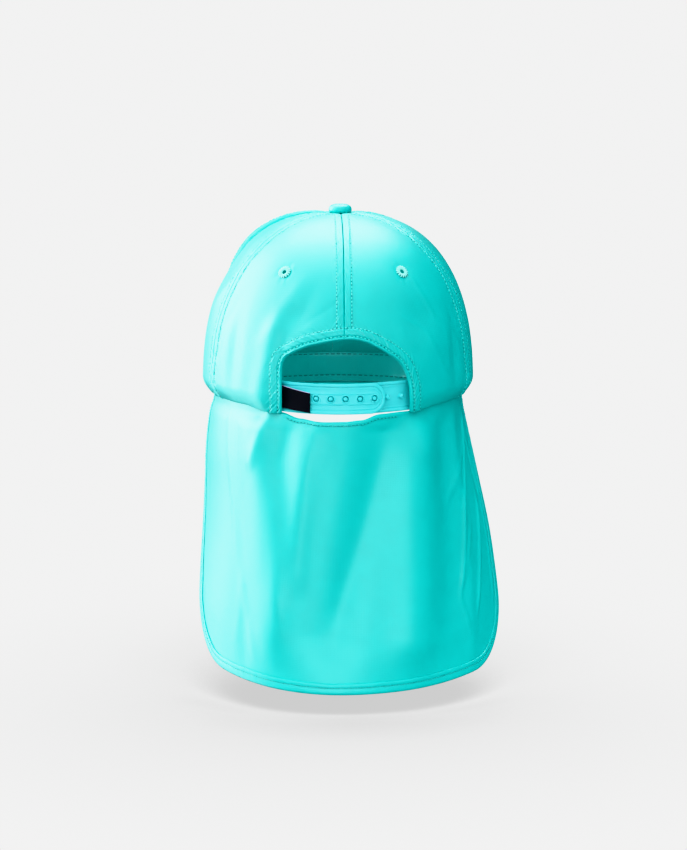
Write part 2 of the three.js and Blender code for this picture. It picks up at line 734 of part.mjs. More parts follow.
// A folded strip round the flap's free edges, open towards the flap that it holds.
function bindingGeometry() {
  const stations = bindingStations();
  const clear = FLAP_THICK / 2 + BINDING.clearance;
  // How far in from the edge, and which share of the height, for the points of the section.
  const section = [
    { in: BINDING.width, rise: 1 },
    { in: 0.4, rise: 1 },
    { in: -BINDING.reach, rise: 0.5 },
    { in: -BINDING.reach, rise: -0.5 },
    { in: 0.4, rise: -1 },
    { in: BINDING.width, rise: -1 },
  ];
  return wallGeometry(stations.length - 1, section.length - 1, (u, v, face) => {
    const station = stations[Math.round(u * (stations.length - 1))];
    const place = section[Math.round(v * (section.length - 1))];
    const inward = face && place.in < 0 ? place.in + BINDING.wall : place.in;
    const height = place.rise * (clear + (face ? 0 : BINDING.wall));
    const onFlap = Math.max(inward, 0);
    const point = flapPoint(
      station.round + station.inRound * onFlap,
      station.drop + station.inDrop * onFlap,
      height,
    );
    if (inward >= 0) return point;
    const edge = flapPoint(station.round, station.drop, 0);
    const inside = flapPoint(station.round + station.inRound, station.drop + station.inDrop, 0);
    return point.addScaledVector(edge.sub(inside).normalize(), -inward);
  });
}

// The assembly

const cap = new THREE.Group();

function addMesh(name, geometry, colour, roughness) {
  const material = new THREE.MeshStandardMaterial({ color: colour, roughness, metalness: 0 });
  const mesh = new THREE.Mesh(geometry, material);
  mesh.name = name;
  cap.add(mesh);
  return mesh;
}

for (const panel of PANELS) addMesh(panel.name, crownPanelGeometry(panel), CLOTH, 0.75);
for (const eyelet of EYELETS)
  addMesh(eyelet.name, eyeletGeometry(), CLOTH, 0.7).applyMatrix4(eyeletPlace(eyelet));

const button = addMesh("top_button", buttonGeometry(), CLOTH, 0.75);
button.rotation.x = Math.PI / 2;
button.position.set(CROWN.lean, 0, CROWN.height + BUTTON.lift);

addMesh("sweatband", sweatbandGeometry(), DEEP_CLOTH, 0.85);
addMesh("peak", peakGeometry(), CLOTH, 0.75);
addMesh("snap_strap_holes", holeStrapGeometry(), STRAP_COLOUR, 0.4);
addMesh("snap_strap_pegs", pegStrapGeometry(), STRAP_COLOUR, 0.4);
addMesh("strap_label", labelGeometry(), LABEL_COLOUR, 0.8);
addMesh("neck_flap", flapGeometry(), CLOTH, 0.75);
addMesh("flap_binding", bindingGeometry(), CLOTH, 0.75);

export default cap;
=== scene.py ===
"""Beach cap: the look of a six-panel cap with a snap strap and a bound neck flap, around its CAD frame.

Shapes are worked out in millimetres in the CAD's own frame: +Z is up, the peak points to -Y and the
wearer's left is +X. Angles round the cap start at the rear centre seam and grow towards the left.
"""

import logging
import math
from collections.abc import Callable, Iterator, Sequence
from contextlib import contextmanager
from dataclasses import dataclass
from enum import Enum
from functools import partial

import bpy
import numpy as np
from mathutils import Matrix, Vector

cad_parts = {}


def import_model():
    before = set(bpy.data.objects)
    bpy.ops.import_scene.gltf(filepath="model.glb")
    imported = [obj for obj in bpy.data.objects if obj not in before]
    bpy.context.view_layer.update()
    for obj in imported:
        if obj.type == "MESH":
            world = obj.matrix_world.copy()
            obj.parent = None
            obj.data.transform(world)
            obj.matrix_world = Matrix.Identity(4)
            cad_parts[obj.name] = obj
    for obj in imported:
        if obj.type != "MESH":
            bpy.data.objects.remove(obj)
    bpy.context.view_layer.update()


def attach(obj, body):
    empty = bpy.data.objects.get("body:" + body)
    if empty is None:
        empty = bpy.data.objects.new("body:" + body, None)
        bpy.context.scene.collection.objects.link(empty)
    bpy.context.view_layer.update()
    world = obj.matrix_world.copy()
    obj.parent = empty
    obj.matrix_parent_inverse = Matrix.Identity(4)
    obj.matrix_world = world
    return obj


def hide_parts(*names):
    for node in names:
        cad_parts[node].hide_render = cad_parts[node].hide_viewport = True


LOG = logging.getLogger("beach_cap")
MM = 0.001
BODY = "root"
WEAVE_MAP = "weave"
SUNK = "sunk"
BACK = "back"
CHUNK = 1500  # points measured at a time, to save memory
Points = np.ndarray
Piece = bpy.types.Object
Material = bpy.types.Material


class Side(Enum):
    """The wearer's side, as the sign of X."""

    LEFT = 1
    RIGHT = -1


class Edge(Enum):
    """An edge of a grid of points, whose rows are counted upwards and columns across."""

    FIRST_COLUMN = "first column"
    LAST_COLUMN = "last column"
    LAST_ROW = "last row"
    FIRST_ROW = "first row"


# Number helpers


def lerp(start: Points, end: Points, share: Points) -> Points:
    """Blends from start to end."""
    return start + (end - start) * share


def smooth(share: Points) -> Points:
    """A share from 0 to 1, eased at both ends."""
    return share * share * (3 - 2 * share)


def ease(value: Points, low: float, high: float) -> Points:
    """Rises smoothly from 0 at low to 1 at high."""
    return smooth(np.clip((value - low) / (high - low), 0, 1))


def bell(distance: Points, spread: float) -> Points:
    """Falls from 1 at no distance to almost nothing at twice the spread."""
    return np.exp(-((distance / spread) ** 2))


def rounded_off(distance: Points, radius: float, depth: float) -> Points:
    """How far a rounded edge falls away: by its depth at no distance, and not at all from its radius on."""
    return depth * (1 - np.sqrt(1 - np.clip(1 - distance / radius, 0, 1) ** 2))


def unit(vectors: Points) -> Points:
    """Vectors made one long."""
    return vectors / np.maximum(np.linalg.norm(vectors, axis=-1, keepdims=True), 1e-9)


def eased_table(table: Points, place: Points) -> Points:
    """Reads a table of (place, value) rows, eased between its rows.

    Args:
        table: Rows of place and value, in rising order of place.
        place: Where to read it.

    Returns:
        The values there, held at the table's ends.
    """
    place = np.clip(place, table[0, 0], table[-1, 0])
    after = np.clip(np.searchsorted(table[:, 0], place), 1, len(table) - 1)
    low, high = table[after - 1], table[after]
    return lerp(low[..., 1], high[..., 1], smooth((place - low[..., 0]) / (high[..., 0] - low[..., 0])))


def hermite(ends: Sequence[Points], slopes: Sequence[Points], span: Points, share: Points) -> Points:
    """Reads a smooth curve between two values.

    Args:
        ends: Its first and last value.
        slopes: Its slopes there.
        span: How far apart they are.
        share: Where to read it, from 0 to 1.

    Returns:
        The values.
    """
    square, cube = share**2, share**3
    return (
        (2 * cube - 3 * square + 1) * ends[0]
        + (cube - 2 * square + share) * span * slopes[0]
        + (3 * square - 2 * cube) * ends[1]
        + (cube - square) * span * slopes[1]
    )


# The waves that an uneven ripple is made of: how much longer than its usual wave, and how high
WANDER_WAVES = ((1.0, 0.55), (0.63, 0.3), (1.87, 0.35), (3.3, 0.25))


def wander(along: Points, wave: float, seed: int) -> Points:
    """An uneven ripple between about -1 and 1, the same for the same seed.

    Args:
        along: Distance, in millimetres.
        wave: Its usual wavelength.
        seed: Sets the phases.

    Returns:
        The ripple at each distance.
    """
    draw = np.random.default_rng(seed)
    ripple = np.zeros_like(along)
    for stretch, weight in WANDER_WAVES:
        phase, shift = draw.uniform(0, 2 * math.pi), draw.uniform(0.93, 1.07)
        ripple = ripple + weight * np.sin(2 * math.pi * along / (wave * stretch * shift) + phase)
    return ripple


def stretched(count: int, crowding: float) -> Points:
    """Shares from 0 to 1 that lie closer together at both ends.

    Args:
        count: The number of steps.
        crowding: 0 is even, and near 1 the end steps vanish.

    Returns:
        count + 1 shares.
    """
    even = np.linspace(0, 1, count + 1)
    return even - crowding * np.sin(2 * math.pi * even) / (2 * math.pi)


def run_lengths(line: Points) -> Points:
    """How far along a line of points each one is."""
    return np.concatenate([[0.0], np.cumsum(np.linalg.norm(np.diff(line, axis=0), axis=1))])


def read_rows(rows: Points, lengths: Points, marks: Points) -> Points:
    """Reads rows of values, each of which lies at its length along a line, at other marks along it."""
    return np.stack([np.interp(marks, lengths, column) for column in rows.T], axis=1)


def read_line(line: Points, marks: Points) -> Points:
    """Values of a line of points at distances along it, where line's first three columns are places."""
    return read_rows(line, run_lengths(line[:, :3]), marks)


def nearest(points: Points, line: Points) -> tuple[Points, Points]:
    """Measures points to a line.

    Args:
        points: Any array of points.
        line: The line's points, in order.

    Returns:
        Each point's distance to the line, and how far along it its nearest place is.
    """
    flat = points.reshape(-1, 3)
    lengths, starts, steps = run_lengths(line), line[:-1], np.diff(line, axis=0)
    squares = np.maximum((steps**2).sum(axis=1), 1e-12)
    distance, along = np.empty(len(flat)), np.empty(len(flat))
    for begin in range(0, len(flat), CHUNK):
        offset = flat[begin : begin + CHUNK, None] - starts[None]
        share = np.clip((offset * steps).sum(axis=2) / squares, 0, 1)
        gap = np.linalg.norm(offset - share[..., None] * steps, axis=2)
        best = gap.argmin(axis=1)
        rows = np.arange(len(best))
        distance[begin : begin + CHUNK] = gap[rows, best]
        along[begin : begin + CHUNK] = lengths[best] + share[rows, best] * np.sqrt(squares[best])
    return distance.reshape(points.shape[:-1]), along.reshape(points.shape[:-1])


def grid_normals(points: Points, outward: Points) -> Points:
    """Normals of a grid of points, on the side that outward vectors lie on."""
    normals = unit(np.cross(np.gradient(points, axis=1), np.gradient(points, axis=0)))
    return normals if (normals * outward).sum() > 0 else -normals


# Mesh helpers, worked as by hand with operators


def deselect_all() -> None:
    """Leaves object mode with nothing selected."""
    if bpy.context.object and bpy.context.object.mode != "OBJECT":
        bpy.ops.object.mode_set(mode="OBJECT")
    bpy.ops.object.select_all(action="DESELECT")


def make_active(piece: Piece) -> None:
    """Selects only this piece."""
    deselect_all()
    piece.select_set(True)
    bpy.context.view_layer.objects.active = piece


@contextmanager
def edit_mode(piece: Piece, pick: str = "VERT", action: str | None = None) -> Iterator[None]:
    """Works on a piece in edit mode and goes back to object mode.

    Args:
        piece: The mesh object.
        pick: What is selected: VERT or FACE.
        action: SELECT or DESELECT, for all of it, or None to keep the selection.

    Yields:
        Nothing.
    """
    make_active(piece)
    bpy.ops.object.mode_set(mode="EDIT")
    bpy.ops.mesh.select_mode(type=pick)
    if action:
        bpy.ops.mesh.select_all(action=action)
    yield
    bpy.ops.object.mode_set(mode="OBJECT")


def read_places(piece: Piece) -> Points:
    """A mesh's vertex places, in metres."""
    places = np.empty(len(piece.data.vertices) * 3)
    piece.data.vertices.foreach_get("co", places)
    return places.reshape(-1, 3)


def write_places(piece: Piece, places: Points) -> None:
    """Moves a mesh's vertices, in metres."""
    piece.data.vertices.foreach_set("co", np.ascontiguousarray(places, dtype=np.float32).ravel())
    piece.data.update()


def apply_modifier(piece: Piece, kind: str, **settings: object) -> None:
    """Adds a modifier with its settings and applies it."""
    make_active(piece)
    modifier = piece.modifiers.new(kind.lower(), kind)
    for name, value in settings.items():
        setattr(modifier, name, value)
    bpy.ops.object.modifier_apply(modifier=modifier.name)


@contextmanager
def picked_faces(piece: Piece, chosen: Callable[[Points, Points], Points]) -> Iterator[None]:
    """Works on some of a piece's faces in edit mode.

    Args:
        piece: The mesh object.
        chosen: Says for arrays of face centres and normals which of them are selected.

    Yields:
        Nothing.
    """
    faces = piece.data.polygons
    with edit_mode(piece, "FACE", "DESELECT"):
        wanted = chosen(np.array([face.center for face in faces]), np.array([face.normal for face in faces]))
    faces.foreach_set("select", wanted)
    with edit_mode(piece, "FACE"):
        yield


def delete_faces(piece: Piece, unwanted: Callable[[Points], Points]) -> None:
    """Deletes the faces whose centres are unwanted."""
    with picked_faces(piece, lambda centres, _: unwanted(centres)):
        bpy.ops.mesh.delete(type="FACE")


def open_edge_vertices(piece: Piece) -> Points:
    """The numbers of the vertices on a mesh's open edges, found by selecting them in edit mode."""
    with edit_mode(piece, action="DESELECT"):
        bpy.ops.mesh.select_non_manifold(
            use_wire=False, use_multi_face=False, use_non_contiguous=False, use_verts=False
        )
    chosen = np.empty(len(piece.data.vertices), dtype=bool)
    piece.data.vertices.foreach_get("select", chosen)
    return np.flatnonzero(chosen)


def shade_soft(piece: Piece, degrees: float = 48) -> None:
    """Shades smooth, but keeps edges sharper than this angle."""
    make_active(piece)
    bpy.ops.object.shade_smooth_by_angle(angle=math.radians(degrees))


def face_outwards(piece: Piece) -> None:
    """Recalculates a closed mesh's normals so that they point out."""
    with edit_mode(piece, action="SELECT"):
        bpy.ops.mesh.normals_make_consistent(inside=False)


def sheet_grid(name: str, columns: int, rows: int) -> tuple[Piece, Points, Points]:
    """Adds a flat grid primitive to be shaped.

    Args:
        name: The piece's name.
        columns: Steps across.
        rows: Steps up.

    Returns:
        The object, and each vertex's column and row.
    """
    deselect_all()
    bpy.ops.mesh.primitive_grid_add(x_subdivisions=columns, y_subdivisions=rows, size=2)
    sheet = bpy.context.active_object
    sheet.name = sheet.data.name = name
    places = read_places(sheet)
    column = np.rint((places[:, 0] + 1) / 2 * columns).astype(int)
    row = np.rint((places[:, 1] + 1) / 2 * rows).astype(int)
    return sheet, column, row


def write_thread_shade(piece: Piece, sunk: Points) -> None:
    """Writes where a thread gets painted shade, from 0 to 1: where it dives into the cloth, or between a
    ring's strands.
    """
    layer = piece.data.attributes.new(SUNK, "FLOAT", "POINT")
    layer.data.foreach_set("value", sunk.astype(np.float32))


def write_weave(piece: Piece, flat: Points) -> None:
    """Writes where each vertex lies on the flat cloth, in metres, as the piece's weave map."""
    layer = piece.data.uv_layers[0]
    layer.name = WEAVE_MAP
    corners = np.empty(len(piece.data.loops), dtype=np.int32)
    piece.data.loops.foreach_get("vertex_index", corners)
    layer.data.foreach_set("uv", np.ascontiguousarray(flat[corners], dtype=np.float32).ravel())


def close_wall(sheet: Piece, inner: Points) -> None:
    """Gives an open sheet its thickness, with its back face at given places.

    Args:
        sheet: The sheet, in its final shape, in metres.
        inner: The back face's places, one for each vertex, in metres.
    """
    normals = np.array([vertex.normal for vertex in sheet.data.vertices])
    if ((read_places(sheet) - inner) * normals).sum() < 0:
        with edit_mode(sheet, action="SELECT"):
            bpy.ops.mesh.flip_normals()
    outer = read_places(sheet)
    apply_modifier(sheet, "SOLIDIFY", thickness=MM, offset=-1)
    write_places(sheet, np.concatenate([outer, inner]))


def cloth_wall(
    name: str, outer: Points, inner: Points, flat: Points, holes: Sequence[tuple[Points, float]] = ()
) -> Piece:
    """Shapes a grid primitive into a closed wall of cloth.

    Args:
        name: The piece's name.
        outer: Its front face, a grid of points in millimetres.
        inner: Its back face, the same.
        flat: Where each point lies on the flat cloth, in millimetres.
        holes: Centres and radii of holes right through it.

    Returns:
        The finished mesh object.
    """
    rows, columns = outer.shape[0] - 1, outer.shape[1] - 1
    sheet, column, row = sheet_grid(name, columns, rows)
    write_places(sheet, outer[row, column] * MM)
    write_weave(sheet, flat[row, column] * MM)
    back = inner[row, column] * MM
    if holes:
        # Cutting holes numbers the vertices anew, so the back's places travel with them as an attribute
        carried = sheet.data.attributes.new(BACK, "FLOAT_VECTOR", "POINT")
        carried.data.foreach_set("vector", back.astype(np.float32).ravel())
        for centre, radius in holes:
            delete_faces(sheet, lambda at: np.linalg.norm(at - centre * MM, axis=1) < radius * MM)
        back = np.empty((len(sheet.data.vertices), 3), dtype=np.float32)
        sheet.data.attributes[BACK].data.foreach_get("vector", back.ravel())
        sheet.data.attributes.remove(sheet.data.attributes[BACK])
    close_wall(sheet, back)
    shade_soft(sheet)
    return sheet


# Finishes


def add_node(
    tree: bpy.types.NodeTree, kind: str, settings: dict[str, object] | None = None, **links: object
) -> bpy.types.Node:
    """Adds a node with its settings and links.

    Args:
        tree: The node tree.
        kind: The shader node's type.
        settings: Values by attribute, or by input name where there is no such attribute.
        links: Nodes, for their first output, or sockets or values, by input name, with underscores for
            spaces, or by _ and its number.

    Returns:
        The node.
    """
    node = tree.nodes.new("ShaderNode" + kind)
    for name, value in (settings or {}).items():
        if hasattr(node, name):
            setattr(node, name, value)
        else:
            node.inputs[name].default_value = value
    for name, value in links.items():
        target = node.inputs[int(name[1:])] if name[0] == "_" else node.inputs[name.replace("_", " ")]
        if isinstance(value, (bpy.types.Node, bpy.types.NodeSocket)):
            tree.links.new(value.outputs[0] if isinstance(value, bpy.types.Node) else value, target)
        else:
            target.default_value = value
    return node


def linear(hex_colour: str) -> tuple[float, float, float, float]:
    """Turns an sRGB hex colour into linear light."""
    channels = [int(hex_colour[k : k + 2], 16) / 255 for k in (1, 3, 5)]
    return (*[c / 12.92 if c <= 0.04045 else ((c + 0.055) / 1.055) ** 2.4 for c in channels], 1.0)


def blank_material(name: str) -> tuple[Material, Callable[..., bpy.types.Node]]:
    """A new material with no nodes, and add_node for its node tree."""
    material = bpy.data.materials.new(name)
    material.use_nodes = True
    material.node_tree.nodes.clear()
    return material, partial(add_node, material.node_tree)


WAVE_TURN = 2 * math.pi / 20  # a wave texture's period in its own units, at a scale of 1
COLOURS = {"data_type": "RGBA"}  # makes a mix node blend two colours
PURE_WHITE = (1.0, 1.0, 1.0, 1.0)


@dataclass(frozen=True)
class ClothFinish:
    """Plain-woven microfibre polyester: dense, smooth, with a soft broad sheen and no visible yarn."""

    name: str
    colour: str
    pale: str
    roughness: float = 0.44
    specular: float = 1.0
    sheen: float = 0.03
    yarn: float = 0.62  # the real yarns lie 0.25 mm apart; drawn coarser, to show at all
    relief: float = 0.3
    fuzz: float = 0.26
    mottle: float = 14.0  # usual width of the dye's faint unevenness

    def make(self) -> Material:
        """Builds the material."""
        material, add = blank_material(self.name)
        weave = add("UVMap", {"uv_map": WEAVE_MAP}).outputs["UV"]
        place = add("TexCoord").outputs["Object"]
        yarns = [
            add(
                "TexWave",
                {"bands_direction": axis, "Scale": WAVE_TURN / (2 * self.yarn * MM), "Distortion": 0.0},
                Vector=weave,
            ).outputs["Fac"]
            for axis in ("X", "Y")
        ]
        crossing = add("Math", {"operation": "MULTIPLY"}, _0=yarns[0], _1=yarns[1])
        fibre = add("TexNoise", {"Scale": 1 / (0.45 * MM), "Detail": 3.0, "Roughness": 0.6}, Vector=place)
        cloud = add("TexNoise", {"Scale": 1 / (self.mottle * MM), "Detail": 2.0}, Vector=place)
        uneven = add("MapRange", {"From Min": 0.35, "From Max": 0.7, "To Max": 0.35}, Value=cloud)
        duller, glossier = self.roughness + 0.05, self.roughness - 0.05
        shine = add(
            "MapRange", {"From Min": 0.3, "From Max": 0.7, "To Min": glossier, "To Max": duller}, Value=fibre
        )
        dye = add("Mix", COLOURS, _0=uneven, _6=linear(self.colour), _7=linear(self.pale))
        woven = add("Bump", {"Strength": self.relief, "Distance": 0.12 * MM}, Height=crossing)
        brushed = add("Bump", {"Strength": self.fuzz, "Distance": 0.1 * MM}, Height=fibre, Normal=woven)
        cloth = add(
            "BsdfPrincipled",
            {
                "Specular IOR Level": self.specular,
                "Sheen Weight": self.sheen,
                "Sheen Roughness": 0.4,
                "Sheen Tint": linear("#d8fffb"),
            },
            Base_Color=dye.outputs[2],
            Roughness=shine,
            Normal=brushed,
        )
        add("OutputMaterial", Surface=cloth)
        return material


@dataclass(frozen=True)
class ThreadFinish:
    """Spun polyester thread: two twisted plies, glossier than the cloth, with painted shade where it dives
    into the cloth.
    """

    name: str
    colour: str
    deep: str
    # the colour of the painted shade in needle holes and between a ring's strands
    hole: str = "#008488"

    def make(self) -> Material:
        """Builds the material."""
        material, add = blank_material(self.name)
        place = add("TexCoord").outputs["Object"]
        ply = add("TexNoise", {"Scale": 1 / (0.3 * MM), "Detail": 2.0}, Vector=place)
        tone = add("Mix", COLOURS, _0=ply, _6=linear(self.deep), _7=linear(self.colour))
        # Painted shade: the thread darkens where it dives into the cloth and between a ring's strands
        sunk = add("Attribute", {"attribute_name": SUNK}).outputs["Fac"]
        hole_shaded = add("Mix", COLOURS, _0=sunk, _6=tone.outputs[2], _7=linear(self.hole))
        twist = add("Bump", {"Strength": 0.4, "Distance": 0.1 * MM}, Height=ply)
        thread = add(
            "BsdfPrincipled",
            {"Roughness": 0.45, "Specular IOR Level": 0.8, "Sheen Weight": 0.1},
            Base_Color=hole_shaded.outputs[2],
            Normal=twist,
        )
        add("OutputMaterial", Surface=thread)
        return material


@dataclass(frozen=True)
class PlasticFinish:
    """Injection-moulded polyethylene: waxy, slightly see-through, with a fine satin skin."""

    name: str
    colour: str
    pale: str
    roughness: float = 0.38

    def make(self) -> Material:
        """Builds the material."""
        material, add = blank_material(self.name)
        place = add("TexCoord").outputs["Object"]
        skin = add("TexNoise", {"Scale": 1 / (0.5 * MM), "Detail": 3.0, "Roughness": 0.65}, Vector=place)
        flow = add("TexNoise", {"Scale": 1 / (9 * MM), "Detail": 1.0}, Vector=place)
        tone = add("Mix", COLOURS, _0=flow, _6=linear(self.colour), _7=linear(self.pale))
        gloss = add(
            "MapRange", {"To Min": self.roughness - 0.07, "To Max": self.roughness + 0.09}, Value=skin
        )
        grain = add("Bump", {"Strength": 0.1, "Distance": 0.05 * MM}, Height=skin)
        plastic = add(
            "BsdfPrincipled",
            {
                "IOR": 1.51,
                "Subsurface Weight": 0.35,
                "Subsurface Radius": (0.4, 1.0, 1.0),
                "Subsurface Scale": 1.2 * MM,
            },
            Base_Color=tone.outputs[2],
            Roughness=gloss,
            Normal=grain,
        )
        add("OutputMaterial", Surface=plastic)
        return material


@dataclass(frozen=True)
class TapeFinish:
    """Black woven satin tape, with a painted highlight along its top fold."""

    name: str
    colour: str
    top_highlight: str
    top: float  # height of the tape on its weave map, in millimetres

    def make(self) -> Material:
        """Builds the material."""
        material, add = blank_material(self.name)
        weave = add("UVMap", {"uv_map": WEAVE_MAP}).outputs["UV"]
        height = add("SeparateXYZ", Vector=weave).outputs["Y"]
        ribs = add(
            "TexWave",
            {"bands_direction": "DIAGONAL", "Scale": WAVE_TURN / (0.5 * MM), "Distortion": 0.0},
            Vector=weave,
        )
        # Painted highlight: a pale strip along the tape's top fold
        edge = add(
            "MapRange", {"From Min": (self.top - 0.45) * MM, "From Max": (self.top - 0.1) * MM}, Value=height
        )
        tone = add("Mix", COLOURS, _0=edge, _6=linear(self.colour), _7=linear(self.top_highlight))
        relief = add("Bump", {"Strength": 0.3, "Distance": 0.1 * MM}, Height=ribs.outputs["Fac"])
        tape = add(
            "BsdfPrincipled",
            {"Roughness": 0.55, "Specular IOR Level": 0.35, "Sheen Weight": 0.15},
            Base_Color=tone.outputs[2],
            Normal=relief,
        )
        add("OutputMaterial", Surface=tape)
        return material


@dataclass(frozen=True)
class Wardrobe:
    """The finishes that the cap's pieces share."""

    crown: Material
    front: Material
    flap: Material
    trim: Material
    sweatband: Material
    thread: Material
    deep_thread: Material
    inner_thread: Material
    pale_thread: Material
    plastic: Material
    tape: Material


def dress(piece: Piece, finish: Material, slot: str, *nodes: str) -> Piece:
    """Gives a piece its finish, ties it to the frame and reports it.

    Args:
        piece: The finished mesh object.
        finish: Its material.
        slot: Not used.
        nodes: The CAD nodes that it stands for.

    Returns:
        The piece.
    """
    piece.data.materials.clear()
    piece.data.materials.append(finish)
    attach(piece, BODY)
    if nodes:
        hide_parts(*nodes)
    LOG.info("%s: %d faces", piece.name, len(piece.data.polygons))
    return piece


# Folds and stitched edges


@dataclass(frozen=True)
class Crease:
    """A soft ridge or hollow along a line on the cloth, in millimetres round and up."""

    start: tuple[float, float]
    end: tuple[float, float]
    spread: float
    height: float
    fade: float = 6.0

    def lift(self, around: Points, level: Points) -> Points:
        """How far it lifts the cloth at places round and up."""
        begin, step = np.array(self.start), np.subtract(self.end, self.start)
        length = math.hypot(*step)
        aside, ahead = around - begin[0], level - begin[1]
        share = (aside * step[0] + ahead * step[1]) / length**2
        off = (aside * step[1] - ahead * step[0]) / length
        past = np.maximum(np.maximum(-share, share - 1), 0) * length
        return self.height * bell(off, self.spread) * bell(past, self.fade)


def as_creases(*rows: tuple[float, ...]) -> list[Crease]:
    """Creases from rows of both ends' places round and up, spread, height and fade."""
    return [Crease((row[0], row[1]), (row[2], row[3]), *row[4:]) for row in rows]


@dataclass(frozen=True)
class StitchedEdge:
    """How cloth lies beside an edge that is turned in and topstitched, in millimetres."""

    rows: tuple[float, ...]
    roll: float = 1.1
    depth: float = 0.95
    band: float = 0.42
    groove: float = 0.34
    pucker: float = 0.13
    wave: float = 6.1
    slant: float = 0.6
    seed: int = 1

    def lift(self, distance: Points, along: Points, presence: Points | float = 1.0) -> Points:
        """How far the edge lifts the cloth.

        Args:
            distance: From the edge.
            along: How far along the edge.
            presence: From 0 to 1, how much of its band is there.

        Returns:
            The lift, negative where it sinks.
        """
        drop = rounded_off(distance, self.roll, self.depth)
        last = self.rows[-1]
        band = self.band * ease(distance, 0.0, 0.7) * (1 - ease(distance, last - 0.2, last + 1.3))
        groove = sum(self.groove * bell(distance - row, 0.6) for row in self.rows)
        ripple = wander(along + self.slant * distance, self.wave, self.seed)
        ripple = self.pucker * ripple * ease(distance, 0.3, 1.6) * (1 - ease(distance, last, last + 5))
        return (band + ripple - groove) * presence - drop


# Thread


@dataclass(frozen=True)
class Contour:
    """A line over a grid of points, as rows and fractional columns, or the other way round."""

    rows: Points
    columns: Points

    def read(self, grid: Points) -> Points:
        """Values of a grid along the line."""
        row, column = np.floor(self.rows).astype(int), np.floor(self.columns).astype(int)
        row, column = np.minimum(row, grid.shape[0] - 2), np.minimum(column, grid.shape[1] - 2)
        down, right = self.rows - row, self.columns - column
        if grid.ndim > 2:
            down, right = down[:, None], right[:, None]
        near = lerp(grid[row, column], grid[row, column + 1], right)
        far = lerp(grid[row + 1, column], grid[row + 1, column + 1], right)
        return lerp(near, far, down)

    def laid_on(self, face: Points, normals: Points) -> tuple[Points, Points]:
        """The line on a face, as the points and normals that stitches follow."""
        return self.read(face), self.read(normals)

    def only(self, keep: Points) -> "Contour":
        """The part of the line where keep is true."""
        return Contour(self.rows[keep], self.columns[keep])


def contour_from(field: Points, level: float, edge: Edge) -> Contour:
    """Finds where a field first reaches a level, going in from an edge of its grid.

    Args:
        field: A value for each point of the grid.
        level: The value to find.
        edge: The edge that each search starts from.

    Returns:
        The line of those places, with the rows or columns that never reach it left out.
    """
    turned = edge in (Edge.LAST_ROW, Edge.FIRST_ROW)
    lines = field.T if turned else field
    backwards = edge in (Edge.LAST_COLUMN, Edge.LAST_ROW)
    scan = lines[:, ::-1] if backwards else lines
    reached = scan >= level
    hit = reached.argmax(axis=1)
    found = np.flatnonzero(reached.any(axis=1) & (hit > 0))
    after = hit[found]
    low, high = scan[found, after - 1], scan[found, after]
    place = after - 1 + (level - low) / np.maximum(high - low, 1e-9)
    if backwards:
        place = lines.shape[1] - 1 - place
    return Contour(place, found.astype(float)) if turned else Contour(found.astype(float), place)


@dataclass
class Needle:
    """Lays short stitches along lines on the cloth. One stitch is modelled and then copied."""

    radius: float = 0.4
    sides: int = 6
    cuts: tuple[float, ...] = (0.18, 0.3, 0.42)  # where a stitch bends, to either side of its middle

    def master(self) -> tuple[Points, list[list[int]]]:
        """Models one stitch along X, one long, that dives into the cloth at its ends.

        Returns:
            Its vertices, whose Y and Z are in millimetres, and its faces.
        """
        deselect_all()
        bpy.ops.mesh.primitive_cylinder_add(
            vertices=self.sides, radius=self.radius, depth=1, rotation=(0, math.pi / 2, 0)
        )
        stitch = bpy.context.active_object
        bpy.ops.object.transform_apply(location=False, rotation=True, scale=False)
        with edit_mode(stitch):
            for cut in sorted((*self.cuts, *(-cut for cut in self.cuts))):
                bpy.ops.mesh.select_all(action="SELECT")
                bpy.ops.mesh.bisect(plane_co=(cut, 0, 0), plane_no=(1, 0, 0))
        places = read_places(stitch)
        end = ease(np.abs(places[:, 0]), 0.28, 0.5)
        places[:, 1:] *= (1 - 0.2 * end)[:, None]
        places[:, 2] -= 1.7 * self.radius * end
        faces = [list(face.vertices) for face in stitch.data.polygons]
        bpy.data.objects.remove(stitch)
        return places, faces

    def lay(
        self, name: str, lines: Sequence[tuple[Points, Points]], pitch: float, share: float = 1.0
    ) -> Piece:
        """Copies the stitch along lines.

        Args:
            name: The piece's name.
            lines: For each row its points and normals, in millimetres.
            pitch: From stitch to stitch.
            share: How much of the pitch a stitch takes up.

        Returns:
            All the stitches as one mesh object.
        """
        places, faces = self.master()
        draw = np.random.default_rng(len(name))
        chunks = []
        for points, normals in lines:
            length = run_lengths(points)[-1]
            count = max(int(round(length / pitch)), 1)
            marks = (np.arange(count) + 0.5) * length / count
            line = np.concatenate([points, normals], axis=1)
            here = read_line(line, marks)
            ahead = read_line(points, marks + 0.35 * pitch) - read_line(points, marks - 0.35 * pitch)
            tangent, up = unit(ahead), unit(here[:, 3:])
            side = unit(np.cross(up, tangent) + tangent * draw.normal(0, 0.05, (count, 1)))
            up = unit(np.cross(tangent, side))
            reach = share * length / count * draw.uniform(0.94, 1.04, (count, 1, 1))
            centre = here[:, None, :3] + up[:, None] * 0.5 * self.radius
            chunks.append(
                centre
                + tangent[:, None] * places[None, :, :1] * reach
                + side[:, None] * places[None, :, 1:2]
                + up[:, None] * places[None, :, 2:]
            )
        copies = np.concatenate(chunks)
        every = [[k * len(places) + corner for corner in face] for k in range(len(copies)) for face in faces]
        mesh = bpy.data.meshes.new(name)
        mesh.from_pydata((copies.reshape(-1, 3) * MM).tolist(), [], every)
        threads = bpy.data.objects.new(name, mesh)
        bpy.context.collection.objects.link(threads)
        # Painted shade on the stitch ends, where they dive into the cloth
        write_thread_shade(threads, np.tile(ease(np.abs(places[:, 0]), 0.2, 0.4), len(copies)))
        face_outwards(threads)
        shade_soft(threads, 60)
        return threads


# The crown


